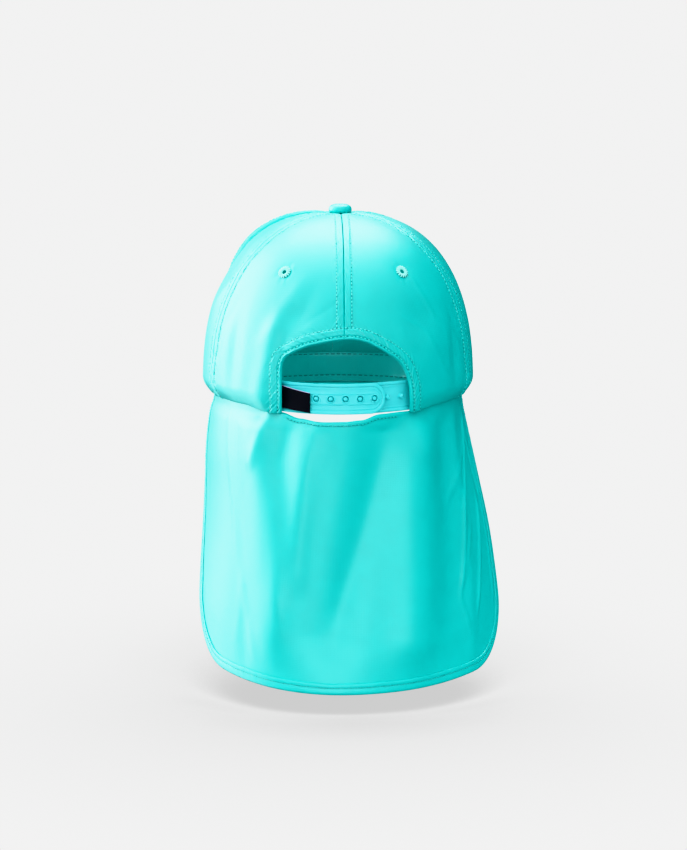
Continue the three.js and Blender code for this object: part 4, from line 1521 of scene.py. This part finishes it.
@dataclass
class SnapStrap:
    """The two moulded halves, one with holes over one with pegs."""

    form: StrapForm
    finishes: Wardrobe
    hole_radius: float = 2.0
    peg_radius: float = 1.5
    peg_rise: float = 2.9
    border: float = 1.7
    sunk: float = 0.6
    holes: tuple[int, int] = (-4, 2)  # the first and last snap of each half
    pegs: tuple[int, int] = (-2, 4)
    steps: tuple[int, int, int] = (204, 36, 62)  # along its straight part and its rounded end, and across
    post_foot: float = 0.4  # how deep a peg stands in its half
    head_insets: tuple[float, ...] = (0.1, 0.16, 0.22, 0.28, 0.34, 0.3)

    def blank(self, name: str, tucked: float, tip: float) -> tuple[Piece, Points]:
        """Adds a flat strap with a rounded end, to be moulded.

        Args:
            name: The piece's name.
            tucked: Its straight end, along the strap.
            tip: The end of its rounded end.

        Returns:
            The flat sheet, and its vertices' distance along and height from the middle.
        """
        half = self.form.width / 2
        ahead = math.copysign(1, tip - tucked)
        turn_start = tip - ahead * half
        straight, rounded, rows = self.steps
        sheet, column, row = sheet_grid(name, straight + rounded, rows)
        turn = np.clip((column - straight) / rounded, 0, 1) * math.radians(86)
        share = np.clip(column / straight, 0, 1)
        along = lerp(tucked, turn_start, share) + ahead * half * np.sin(turn)
        height = half * np.cos(turn) * (2 * stretched(rows, 0.5)[row] - 1)
        flat = np.stack([along, height], axis=1)
        write_places(sheet, np.concatenate([flat, np.zeros((len(flat), 1))], axis=1) * MM)
        return sheet, flat

    def relief(self, flat: Points, tucked: float, tip: float, snaps: list[float], ringed: bool) -> Points:
        """The moulded height of the strap's front over its sunk field.

        Args:
            flat: Distance along and height from the middle.
            tucked: The straight end.
            tip: The rounded end's tip.
            snaps: Where the holes or pegs are.
            ringed: Whether a long rounded rib runs round them.

        Returns:
            The relief in millimetres, 0 on top of the border.
        """
        half = self.form.width / 2
        ahead = math.copysign(1, tip - tucked)
        past = np.maximum((flat[:, 0] - (tip - ahead * half)) * ahead, 0)
        inside = half - np.hypot(past, flat[:, 1])
        height = -self.sunk * ease(inside, self.border, self.border + 0.5)
        height = height - rounded_off(inside, 0.5, 0.4)
        height = height + 0.2 * bell(inside - self.border - 1.6, 0.4)
        for snap in snaps:
            away = np.hypot(flat[:, 0] - snap, flat[:, 1])
            if ringed:
                height = height + 0.55 * bell(away - self.hole_radius - 0.45, 0.36)
            else:
                height = height + 0.16 * bell(away - self.peg_radius - 0.5, 0.4)
        if ringed:
            off = np.hypot(flat[:, 0] - np.clip(flat[:, 0], min(snaps), max(snaps)), flat[:, 1])
            height = height + 0.46 * bell(off - 3.5, 0.34) + 0.16 * (1 - ease(off, 3.2, 3.5))
        return height

    def mould(self, sheet: Piece, relief: Points, out: Callable[[Points], Points]) -> Piece:
        """Bends a flat strap onto its arc, with its relief and thickness, set out by a distance."""
        flat = read_places(sheet)[:, :2] / MM
        level, face = self.form.centre_level + flat[:, 1], out(flat[:, 0])
        outer = self.form.point(flat[:, 0], level, face + relief)
        inner = self.form.point(flat[:, 0], level, face - self.form.thickness)
        write_places(sheet, outer * MM)
        write_weave(sheet, flat * MM)
        close_wall(sheet, inner * MM)
        shade_soft(sheet, 42)
        return sheet

    def mould_hole_half(self) -> None:
        """The half with the holes, on top, which comes from the left."""
        snaps = self.form.snaps(self.holes)
        tucked, tip = -self.form.tucked_end, snaps[-1] + self.form.beyond_hole
        sheet, _ = self.blank("strap_half_holes", tucked, tip)
        centres = np.array([(snap, 0.0) for snap in snaps]) * MM
        reach = self.hole_radius * MM

        def off_hole(at: Points) -> Points:
            """Distance to the nearest hole's centre."""
            return np.linalg.norm(at[:, None, :2] - centres[None], axis=2).min(axis=1)

        delete_faces(sheet, lambda at: off_hole(at) < reach)
        places = read_places(sheet)
        rims = open_edge_vertices(sheet)
        rims = rims[off_hole(places[rims]) < 1.3 * reach]
        own = np.linalg.norm(places[rims, None, :2] - centres[None], axis=2).argmin(axis=1)
        places[rims, :2] = centres[own] + unit(places[rims, :2] - centres[own]) * reach
        write_places(sheet, places)
        relief = self.relief(places[:, :2] / MM, tucked, tip, snaps, True)
        strap = self.mould(sheet, relief, lambda along: 0 * along)
        dress(strap, self.finishes.plastic, "strap_plastic", "snap_strap_holes")

    def behind(self, along: Points) -> Points:
        """How far the half with pegs lies behind the other, along its length."""
        level_from = self.form.snaps(self.holes)[-1] + self.form.beyond_hole + 1
        back = self.form.thickness + self.form.gap
        return -back * (1 - ease(along, level_from, self.form.tucked_end - 6))

    def peg_master(self) -> Piece:
        """Models one peg that stands on its own base: a post with a rounded head."""
        deselect_all()
        depth = self.peg_rise + self.post_foot
        bpy.ops.mesh.primitive_cylinder_add(
            vertices=28, radius=self.peg_radius, depth=depth, location=(0, 0, depth / 2 - self.post_foot)
        )
        peg = bpy.context.active_object
        bpy.ops.object.transform_apply(location=True, rotation=False, scale=False)
        with picked_faces(peg, lambda _, normals: normals[:, 2] > 0.9):
            for inset in self.head_insets:
                bpy.ops.mesh.inset(thickness=inset)
        places = read_places(peg)
        top = places[:, 2] > self.peg_rise - 0.01
        away = np.hypot(places[:, 0], places[:, 1])
        places[top, 2] -= 0.95 * (away[top] / self.peg_radius) ** 2.6
        write_places(peg, places)
        return peg

    def mould_peg_half(self) -> None:
        """The half with the pegs, below, which comes from the right."""
        snaps = self.form.snaps(self.pegs)
        tucked, tip = self.form.tucked_end, snaps[0] - self.form.beyond_hole
        sheet, flat = self.blank("strap_half_pegs", tucked, tip)
        strap = self.mould(sheet, self.relief(flat, tucked, tip, snaps, False), self.behind)
        pegs = [self.peg_master()]
        pegs += [pegs[0].copy() for _ in snaps[1:]]
        for peg in pegs[1:]:
            peg.data = pegs[0].data.copy()
            bpy.context.collection.objects.link(peg)
        middle = np.array(self.form.centre_level)
        for peg, snap in zip(pegs, snaps):
            along = np.array(snap)
            face = self.behind(along) - self.sunk
            foot = self.form.point(along, middle, face)
            normal = unit(self.form.point(along, middle, face + 1) - foot)
            aside = unit(np.cross([0, 0, 1.0], normal))
            turned = read_places(peg) @ np.stack([aside, np.cross(normal, aside), normal])
            write_places(peg, (turned + foot) * MM)
            peg.data.uv_layers[0].name = WEAVE_MAP
            face_outwards(peg)
            shade_soft(peg, 60)
        make_active(strap)
        for peg in pegs:
            peg.select_set(True)
        bpy.ops.object.join()
        dress(strap, self.finishes.plastic, "strap_plastic", "snap_strap_pegs")

    def build(self) -> None:
        """Moulds both halves."""
        self.mould_hole_half()
        self.mould_peg_half()


TAPE_WIDTH = 14.5  # of the label's tape, in millimetres


@dataclass
class Label:
    """The small folded black tape sewn into the opening's left edge. It is bare."""

    form: StrapForm
    finishes: Wardrobe
    start: float = -43.6
    length: float = 21.3
    low: tuple[float, float] = (1.4, -0.9)
    high: tuple[float, float] = (16.4, 12.5)
    thickness: float = 0.9
    steps: tuple[int, int] = (61, 44)

    def build(self) -> None:
        """Builds the label."""
        along = np.linspace(0, 1, self.steps[0])[None, :]
        up = stretched(self.steps[1], 0.6)[:, None]
        low, high = lerp(*self.low, along), lerp(*self.high, along)
        level = lerp(low, high, up)
        edge = np.minimum(np.minimum(up, 1 - up) * TAPE_WIDTH, (1 - along) * self.length)
        round_off = rounded_off(edge, 0.45, 0.42)
        bow = 0.35 * np.sin(np.pi * along) + 0.25 * along**2 - 0.15 * bell(up - 0.5, 0.5) * along
        place = self.start + self.length * along + 0 * up
        outer = self.form.point(place, level, self.form.gap + self.thickness - round_off + bow)
        inner = self.form.point(place, level, self.form.gap + round_off + np.maximum(bow, 0) * 0.6)
        flat = np.stack([place, TAPE_WIDTH * up + 0 * along], axis=-1)
        label = cloth_wall("side_label", outer, inner, flat)
        dress(label, self.finishes.tape, "label_cloth", "strap_label")


# The neck flap

# What the flap measures along its cloth, in millimetres
# Its upper edge: round as cut, level
FLAP_TOP = np.array(
    [
        (-165, 6), (-76, 6), (-67.5, -2.6), (-48, -2.6), (-30, -3.2), (-14, -6.7), (0, -7.6),
        (18, -7.9), (34, -5.9), (50, -2.6), (62, -2.6), (70, 6), (165, 6),
    ]
)
# Level, half widths left and right, rear, middle, and the angles wrapped to left and right
FLAP_SECTIONS = np.array(
    [
        (6, 85.3, 85.3, 96.2, 0, 97, 94),
        (-4, 85.3, 85.3, 96.2, 0, 96, 91),
        (-13, 88.0, 86.6, 98.4, -1, 94, 88),
        (-35, 90.8, 92.0, 100.4, -3, 91, 82.5),
        (-62, 92.3, 99.2, 101.0, -6, 86, 78),
        (-90, 94.7, 106.8, 100.4, -8, 81, 74.5),
        (-118, 98.3, 113.0, 99.4, -10, 76, 71.5),
        (-150, 102.2, 119.1, 98.6, -12, 71, 68),
        (-192, 103.7, 121.9, 98.2, -12, 70, 67),
    ]
)
# Folds: round and level of the upper end and of the lower end, half width, height
FLAP_FOLDS = (
    (68, -14, 66, -150, 19, 4.2),
    (44, -8, 53, -38, 11, -2.8),
    (20, -18, 54, -128, 13, 2.2),
    (-36, -16, 10, -152, 23, -4.0),
    (-64, -32, -58, -154, 20, 7.2),
    (-96, -14, -92, -130, 12, -1.6),
    (-114, -10, -116, -160, 8, 1.2),
)
FOLD_FADE = 22.0
FOLDS_FROM = (4.0, 16.0)  # how far below the crown's edge the folds start and are at full height


@dataclass(frozen=True)
class FlapForm:
    """The hanging flap's shape as the CAD has it, and how it was cut, in millimetres."""

    half_span: float = 165.0
    drop: float = 191.0
    corner: float = 44.0
    rise_left: float = 16.0
    rise_right: float = 12.0

    def section(self, level: Points) -> Points:
        """The section table at a level: left, right, rear, middle and the two wrap angles."""
        table = FLAP_SECTIONS
        levels = table[:, 0]
        after = np.clip(np.searchsorted(-levels, -level), 1, len(table) - 1)
        upper, lower = table[after - 1], table[after]
        before, beyond = table[np.maximum(after - 2, 0)], table[np.minimum(after + 1, len(table) - 1)]
        span = upper[..., :1] - lower[..., :1]
        share = np.clip((upper[..., 0] - level)[..., None] / span, 0, 1)
        slope_in = (lower - before) / (before[..., :1] - lower[..., :1])
        slope_out = (beyond - upper) / (upper[..., :1] - beyond[..., :1])
        return hermite((upper, lower), (slope_in, slope_out), span, share)[..., 1:]

    def base(self, around: Points, down: Points) -> Points:
        """The middle surface without folds, at a distance round and a drop, both as cut."""
        top = eased_table(FLAP_TOP, around)
        rise = np.where(around > 0, self.rise_left, self.rise_right)
        hem = -self.drop + rise * (around / self.half_span) ** 2
        level = lerp(top, hem, down / self.drop)
        left, right, rear, middle, wrap_left, wrap_right = np.moveaxis(self.section(level), -1, 0)
        angle = np.radians(np.where(around > 0, wrap_left, wrap_right)) * around / self.half_span
        half = np.where(around > 0, left, right)
        return np.stack([half * np.sin(angle), middle + (rear - middle) * np.cos(angle), level], axis=-1)

    def normal(self, around: Points, down: Points) -> Points:
        """The outward normal there."""
        step = 0.5
        down = np.minimum(down, self.drop - step)
        aside = self.base(around + step, down) - self.base(around - step, down)
        below = self.base(around, down + step) - self.base(around, down)
        return unit(np.cross(aside, below))

    def folds(self, around: Points, level: Points) -> Points:
        """How far the folds lift the flap."""
        total = np.zeros_like(level)
        for top_round, top_z, low_round, low_z, spread, height in FLAP_FOLDS:
            share = np.clip((top_z - level) / (top_z - low_z), 0, 1)
            past = np.maximum(np.maximum(level - top_z, low_z - level), 0)
            line = lerp(top_round, low_round, share)
            total = total + height * bell(around - line, spread) * bell(past, FOLD_FADE)
        return total * ease(-level, *FOLDS_FROM)

    def point(self, around: Points, down: Points, height: Points | float = 0.0) -> Points:
        """A point of the folded flap, moved out from its middle surface by a height."""
        base = self.base(around, down)
        return base + self.normal(around, down) * (self.folds(around, base[..., 2]) + height)[..., None]

    def cut(self, wide: Points, down: Points) -> tuple[Points, Points]:
        """Draws a square grid onto the cut outline, whose lower corners are round."""
        p = (np.abs(wide) - (self.half_span - self.corner)) / self.corner
        q = (down - (self.drop - self.corner)) / self.corner
        inside = (p > 0) & (q > 0)
        p, q = np.where(inside, p, 0), np.where(inside, q, 0)
        around = self.half_span - self.corner + self.corner * p * np.sqrt(1 - q * q / 2)
        lower = self.drop - self.corner + self.corner * q * np.sqrt(1 - p * p / 2)
        return np.where(inside, np.sign(wide) * around, wide), np.where(inside, lower, down)


FLAP_TOP_EDGE = StitchedEdge(
    rows=(2.8,), roll=0.9, depth=0.5, band=0.35, groove=0.26, pucker=0.12, wave=2.6, seed=14
)
# Finer creases on the flap, in millimetres round as cut and up: start, end, spread, height and fade
FLAP_CREASES = as_creases(
    (-138, -20, -120, -63, 2.1, 1.2, 9),
    (-115, -75, -106, -122, 2.1, 1.3, 11),
    (-105, -136, -110, -148, 2.0, 0.7, 7),
    (-141, -80, -127, -134, 2.1, 1.2, 11),
    (-128, -35, -99, -64, 3.0, 0.5, 6),
    (-120, -92, -108, -118, 3.0, 0.5, 8),
    (-143, -30, -150, -62, 1.5, -1.5, 4),
    (-155, -22, -154, -130, 2.0, 0.7, 10),
    (57, -54, 56, -136, 8.0, 0.8, 14),
    (31, -34, 38, -108, 8.0, 1.1, 16),
    (-27, -44, 2, -130, 9.0, -1.1, 16),
    (103, -14, 99, -92, 3.6, 0.4, 14),
    (90, -20, 90, -90, 3.4, -0.2, 14),
    (93, -122, 84, -164, 4.0, 0.35, 8),
    (95, -124, 104, -158, 4.5, 0.25, 8),
    (92, -146, 94, -172, 6.0, -0.4, 8),
    (60, -8, 74, -37, 4.0, 1.1, 5),
    (20, -8, 30, -46, 4.0, 0.4, 8),
)
# The folded strip's section over the flap's front: how far in from the flap's edge, and out from its middle
STRIP_FACE = (
    (7.0, 0.72), (6.95, 1.0), (6.75, 1.25), (6.4, 1.4), (5.9, 1.46), (5.2, 1.46), (4.6, 1.42),
    (4.3, 1.32), (4.0, 1.26), (3.7, 1.32), (3.4, 1.42), (2.6, 1.5), (1.6, 1.52), (0.7, 1.48),
    (0.1, 1.38), (-0.4, 1.2), (-0.85, 0.9), (-1.2, 0.5), (-1.35, 0.0),
)


@dataclass
class NeckFlap:
    """The flap that hangs from the crown's lower edge, and the folded strip round its free edges."""

    form: FlapForm
    finishes: Wardrobe
    thickness: float = 1.0
    steps: tuple[int, int] = (250, 146)
    open_half: float = 47.0  # half the width of its open upper edge
    deepest: float = -1.5  # creases sink its face no further
    top_pitch: float = 2.5
    hem_pitch: float = 1.9
    strip_row: int = 8  # the point of the strip's section that its stitches lie on

    def hang_cloth(self) -> Piece:
        """Builds the flap and the row of stitches along its open upper edge."""
        wide = self.form.half_span * (2 * stretched(self.steps[0], 0.35) - 1)[None, :]
        down = (self.form.drop * stretched(self.steps[1], 0.55))[:, None]
        around, drop = self.form.cut(wide + 0 * down, down + 0 * wide)
        base = self.form.point(around, drop)
        normals = grid_normals(base, base * np.array([1, 1, 0]))
        opened = 1 - ease(np.abs(around), self.open_half, self.open_half + 6)
        lift = FLAP_TOP_EDGE.lift(drop, around + 200, opened)
        for crease in FLAP_CREASES:
            lift = lift + crease.lift(around, base[..., 2])
        outer = base + normals * (self.thickness / 2 + np.maximum(lift, self.deepest))[..., None]
        inner = base - normals * (self.thickness / 2 - np.minimum(lift, 0.4) * 0.6)[..., None]
        flat = np.stack([around, -drop], axis=-1)
        flap = cloth_wall("hanging_flap", outer, inner, flat)
        dress(flap, self.finishes.flap, "flap_cloth", "neck_flap")
        row = contour_from(drop, FLAP_TOP_EDGE.rows[0], Edge.FIRST_ROW)
        row = row.only(np.abs(row.read(around)) < self.open_half)
        threads = Needle().lay("flap_top_stitching", [row.laid_on(outer, normals)], self.top_pitch)
        dress(threads, self.finishes.deep_thread, "eyelet_thread")
        return flap

    def outline(self) -> Points:
        """The cut outline's free edges from the left front edge round the hem to the right one.

        Returns:
            Rows of round and drop, and of the way in from the edge.
        """
        span, drop, corner = self.form.half_span, self.form.drop, self.form.corner
        side = [(span, down, -1.0, 0.0) for down in np.linspace(2.5, drop - corner, 100)]
        turns = [(math.cos(turn), math.sin(turn)) for turn in np.linspace(0, math.pi / 2, 52)[1:-1]]
        bend = [(span - corner + corner * c, drop - corner + corner * s, -c, -s) for c, s in turns]
        hem = [(around, drop, 0.0, -1.0) for around in np.linspace(span - corner, 0, 88)]
        half = np.array(side + bend + hem)
        other = half[:-1][::-1] * np.array([-1, 1, -1, 1])
        return np.concatenate([half, other])

    def strip_point(self, stations: Points, inward: Points, height: Points) -> Points:
        """Points of the strip: how far in from the flap's edge, and how far off its middle surface."""
        on_flap = np.maximum(inward, 0)
        around = stations[:, None, 0] + stations[:, None, 2] * on_flap
        down = stations[:, None, 1] + stations[:, None, 3] * on_flap
        place = self.form.point(around, down, height)
        edge = self.form.point(stations[:, 0], stations[:, 1])
        inside = self.form.point(stations[:, 0] + stations[:, 2], stations[:, 1] + stations[:, 3])
        out = unit(edge - inside)[:, None]
        return place + out * np.maximum(-inward, 0)[..., None]

    def fold_strip(self) -> Piece:
        """Builds the folded strip and its row of stitches on both sides."""
        stations = self.outline()
        run = run_lengths(self.form.point(stations[:, 0], stations[:, 1]))[:, None]
        section = np.array([*STRIP_FACE, *((way, -rise) for way, rise in STRIP_FACE[:-1][::-1])])
        inward, rise = section[None, :, 0] + 0 * run, section[None, :, 1] + 0 * run
        ripple = 0.12 * wander(run, 3.0, 31) * ease(inward, -0.5, 1.5) * np.sign(rise)
        drift = 0.22 * wander(run, 23.0, 7) * ease(inward, 2.0, 6.5)
        outer = self.strip_point(stations, inward + drift, rise + ripple)
        shrink = np.where(rise > 0, 1, -1) * np.minimum(np.abs(rise), 0.58)
        inner = self.strip_point(stations, np.where(inward < 0, inward * 0.45, inward + drift), shrink)
        width = run_lengths(np.stack([section[:, 0], section[:, 1], 0 * section[:, 0]], axis=1))
        flat = np.stack([run + 0 * inward, width[None] + 0 * run], axis=-1)
        strip = cloth_wall("folded_hem_strip", outer, inner, flat)
        dress(strip, self.finishes.trim, "binding_cloth", "flap_binding")
        normals = self.form.normal(stations[:, 0], stations[:, 1])
        columns = (self.strip_row, len(section) - 1 - self.strip_row)
        lines = [(outer[:, column], normals * np.sign(section[column, 1])) for column in columns]
        threads = Needle(radius=0.3).lay("hem_stitching", lines, self.hem_pitch)
        dress(threads, self.finishes.deep_thread, "eyelet_thread")
        return strip

    def build(self) -> None:
        flap = self.hang_cloth()
        strip = self.fold_strip()


# Studio


@dataclass(frozen=True)
class Softbox:
    """A far soft light, by where it stands."""

    name: str
    azimuth: float  # 0 is behind the wearer, 90 is at the wearer's left
    elevation: float
    strength: float
    width: float  # its angle across, in degrees
    gloss_only: bool = False  # it shows as shine alone, as from a large sheet of silk


@dataclass
class Studio:
    """The paper, the lights and the camera."""

    floor_level: float = -0.206
    white: float = 0.745
    shadow_reach: float = 0.3
    darkest: float = 0.49
    near_paper: float = 0.62  # what the paper close to the cap throws back on it
    fill: float = 0.06
    walls: tuple[tuple[str, float, float, float], ...] = (
        ("X", 0.15, 0.95, 0.45), ("Y", -0.35, 0.4, 1.4), ("Z", 0.3, 1.0, 0.45)
    )
    softboxes: tuple[Softbox, ...] = (
        Softbox("left_softbox", 122, 22, 1.3, 56),
        Softbox("left_silk", 112, 20, 6.2, 58, True),
        Softbox("near_left_softbox", 62, 18, 0.4, 80),
        Softbox("rear_silk", 6, -8, 0.66, 34, True),
        Softbox("low_left_silk", 98, -24, 1.8, 56, True),
        Softbox("top_softbox", 172, 72, 0.5, 56),
        Softbox("top_silk", 176, 64, 5.8, 54, True),
    )
    camera_place: tuple[float, float, float] = (0.06533, 1.5846, 0.21295)
    camera_aim: tuple[float, float, float] = (-0.0037, 0.0037, -0.0235)
    lens: float = 96.9
    fill_place: tuple[float, float, float] = (0.0, 0.02, 0.06)
    fill_size: tuple[float, float] = (0.09, 0.05)
    fill_energy: float = 0.035

    def paper(self) -> Material:
        """Pale background paper that glows evenly to the camera, with a painted shadow close under the cap;
        to other rays it glows brighter near the cap, in place of the light it throws back.
        """
        material, add = blank_material("evenly_lit_paper")
        # Painted shadow: the paper glows less where the cap is close above it
        shade = add("AmbientOcclusion", {"samples": 24, "Distance": self.shadow_reach})
        light = add(
            "MapRange",
            {"From Min": 0.6, "From Max": 1.0, "To Min": self.darkest, "To Max": self.white},
            Value=shade.outputs["AO"],
        )
        place = add("TexCoord").outputs["Object"]
        away = add("VectorMath", {"operation": "LENGTH"}, _0=place)
        near = add(
            "MapRange",
            {"From Min": 0.35, "From Max": 1.1, "To Min": self.near_paper, "To Max": 0.03},
            Value=away.outputs["Value"],
        )
        seen = add("LightPath").outputs["Is Camera Ray"]
        strength = add("Mix", {"data_type": "FLOAT"}, _0=seen, _2=near, _3=light)
        glow = add("Emission", {"Color": PURE_WHITE}, Strength=strength.outputs[0])
        add("OutputMaterial", Surface=glow)
        return material

    def lay_paper(self) -> None:
        """A plain pale floor that runs out of sight."""
        deselect_all()
        bpy.ops.mesh.primitive_plane_add(size=120, location=(0, 0, self.floor_level))
        floor = bpy.context.active_object
        floor.name = "paper_floor"
        floor.data.materials.append(self.paper())
        floor.visible_glossy = floor.visible_shadow = False  # the silks light the cap through it

    def hang_softbox(self, box: Softbox) -> None:
        """Adds a softbox as a broad sun."""
        turn, rise = math.radians(box.azimuth), math.radians(box.elevation)
        towards = Vector((math.sin(turn) * math.cos(rise), math.cos(turn) * math.cos(rise), math.sin(rise)))
        bpy.ops.object.light_add(type="SUN", location=towards * 3)
        light = bpy.context.active_object
        light.name = box.name
        light.rotation_euler = towards.to_track_quat("Z", "Y").to_euler()
        light.data.energy = box.strength
        light.data.angle = math.radians(box.width)
        light.visible_diffuse = not box.gloss_only

    def surround(self) -> None:
        """Pale walls on the left, behind the camera and above, dark ones elsewhere, and an even backdrop."""
        world = bpy.data.worlds.new("studio_surround")
        world.use_nodes = True
        world.node_tree.nodes.clear()
        add = partial(add_node, world.node_tree)
        towards = add("TexCoord").outputs["Generated"]
        split = add("SeparateXYZ", Vector=towards)
        total = self.fill
        for axis, low, high, strength in self.walls:
            wall = add(
                "MapRange",
                {"interpolation_type": "SMOOTHSTEP", "From Min": low, "From Max": high, "To Max": strength},
                Value=split.outputs[axis],
            )
            both = add("Math", {"operation": "ADD"}, _0=total, _1=wall)
            total = both
        walls, backdrop = [
            add("Background", {"Color": PURE_WHITE}, Strength=strength) for strength in (total, self.white)
        ]
        seen = add("LightPath").outputs["Is Camera Ray"]
        shown = add("MixShader", _0=seen, _1=walls, _2=backdrop)
        add("OutputWorld", Surface=shown)
        world.cycles_visibility.glossy = False  # the gloss comes from the softboxes alone
        bpy.context.scene.world = world

    def light_inside(self) -> None:
        """A faint fill inside the crown, for the light that its thin cloth lets through."""
        bpy.ops.object.light_add(type="AREA", location=self.fill_place)
        fill = bpy.context.active_object
        fill.name = "crown_inside_fill"
        fill.data.shape = "RECTANGLE"
        fill.data.size, fill.data.size_y = self.fill_size
        fill.data.energy = self.fill_energy
        fill.rotation_euler = Vector((0, 1, 0.15)).to_track_quat("Z", "Y").to_euler()
        fill.visible_camera = False

    def place_camera(self) -> None:
        """Puts the camera where the reference view was taken from."""
        deselect_all()
        bpy.ops.object.camera_add(location=self.camera_place)
        camera = bpy.context.active_object
        aim = Vector(self.camera_aim) - Vector(self.camera_place)
        camera.rotation_euler = aim.to_track_quat("-Z", "Y").to_euler()
        camera.data.sensor_width = 36
        camera.data.lens = self.lens
        camera.data.clip_start, camera.data.clip_end = 0.05, 200
        bpy.context.scene.camera = camera

    def build(self) -> None:
        """Sets up the whole studio."""
        self.place_camera()
        self.lay_paper()
        self.surround()
        for box in self.softboxes:
            self.hang_softbox(box)
        self.light_inside()
        view = bpy.context.scene.view_settings
        view.view_transform = "Khronos PBR Neutral"
        view.look = "High Contrast"


def make_finishes() -> Wardrobe:
    """Makes the finishes that the pieces share."""
    return Wardrobe(
        crown=ClothFinish("microfibre_crown_cloth", "#00bbb9", "#00c6c3").make(),
        # The front panels are fused to a stiff backing, which leaves them less sheen; their colour is a
        # little darker than the crown cloth's, as painted shade
        front=ClothFinish("backed_front_cloth", "#00b4b1", "#00bfbb", specular=0.25, sheen=0.0).make(),
        flap=ClothFinish("microfibre_flap_cloth", "#00bbb9", "#00c6c3").make(),
        trim=ClothFinish("microfibre_trim_cloth", "#00bbb9", "#00c6c3").make(),
        sweatband=ClothFinish(
            "woven_sweatband_cloth", "#00b0ae", "#06bab6", sheen=0.15, yarn=0.8, relief=0.4
        ).make(),
        thread=ThreadFinish("spun_polyester_thread", "#6fe4df", "#2ccbc7", "#007478").make(),
        deep_thread=ThreadFinish("deep_polyester_thread", "#30c4c0", "#0ea6a4", "#005c62").make(),
        inner_thread=ThreadFinish("inner_polyester_thread", "#008482", "#006e6d", "#004a4e").make(),
        pale_thread=ThreadFinish("glossy_polyester_thread", "#b4f5f0", "#7fe6e0").make(),
        plastic=PlasticFinish("moulded_polyethylene", "#4cc6cb", "#62d2d7").make(),
        tape=TapeFinish("black_satin_tape", "#1b1c22", "#b9b0d2", TAPE_WIDTH).make(),
    )


def main() -> None:
    """Builds the cap piece by piece in its studio."""
    logging.basicConfig(level=logging.INFO, format="%(message)s")
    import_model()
    Studio().build()
    finishes = make_finishes()
    crown_form, strap_form = CrownForm(), StrapForm()
    for part in (
        Crown(crown_form, Opening(), finishes),
        Sweatband(crown_form, finishes),
        Peak(crown_form, finishes),
        SnapStrap(strap_form, finishes),
        Label(strap_form, finishes),
        NeckFlap(FlapForm(), finishes),
    ):
        part.build()
        LOG.info("%s is done", type(part).__name__)


if __name__ == "__main__":
    main()
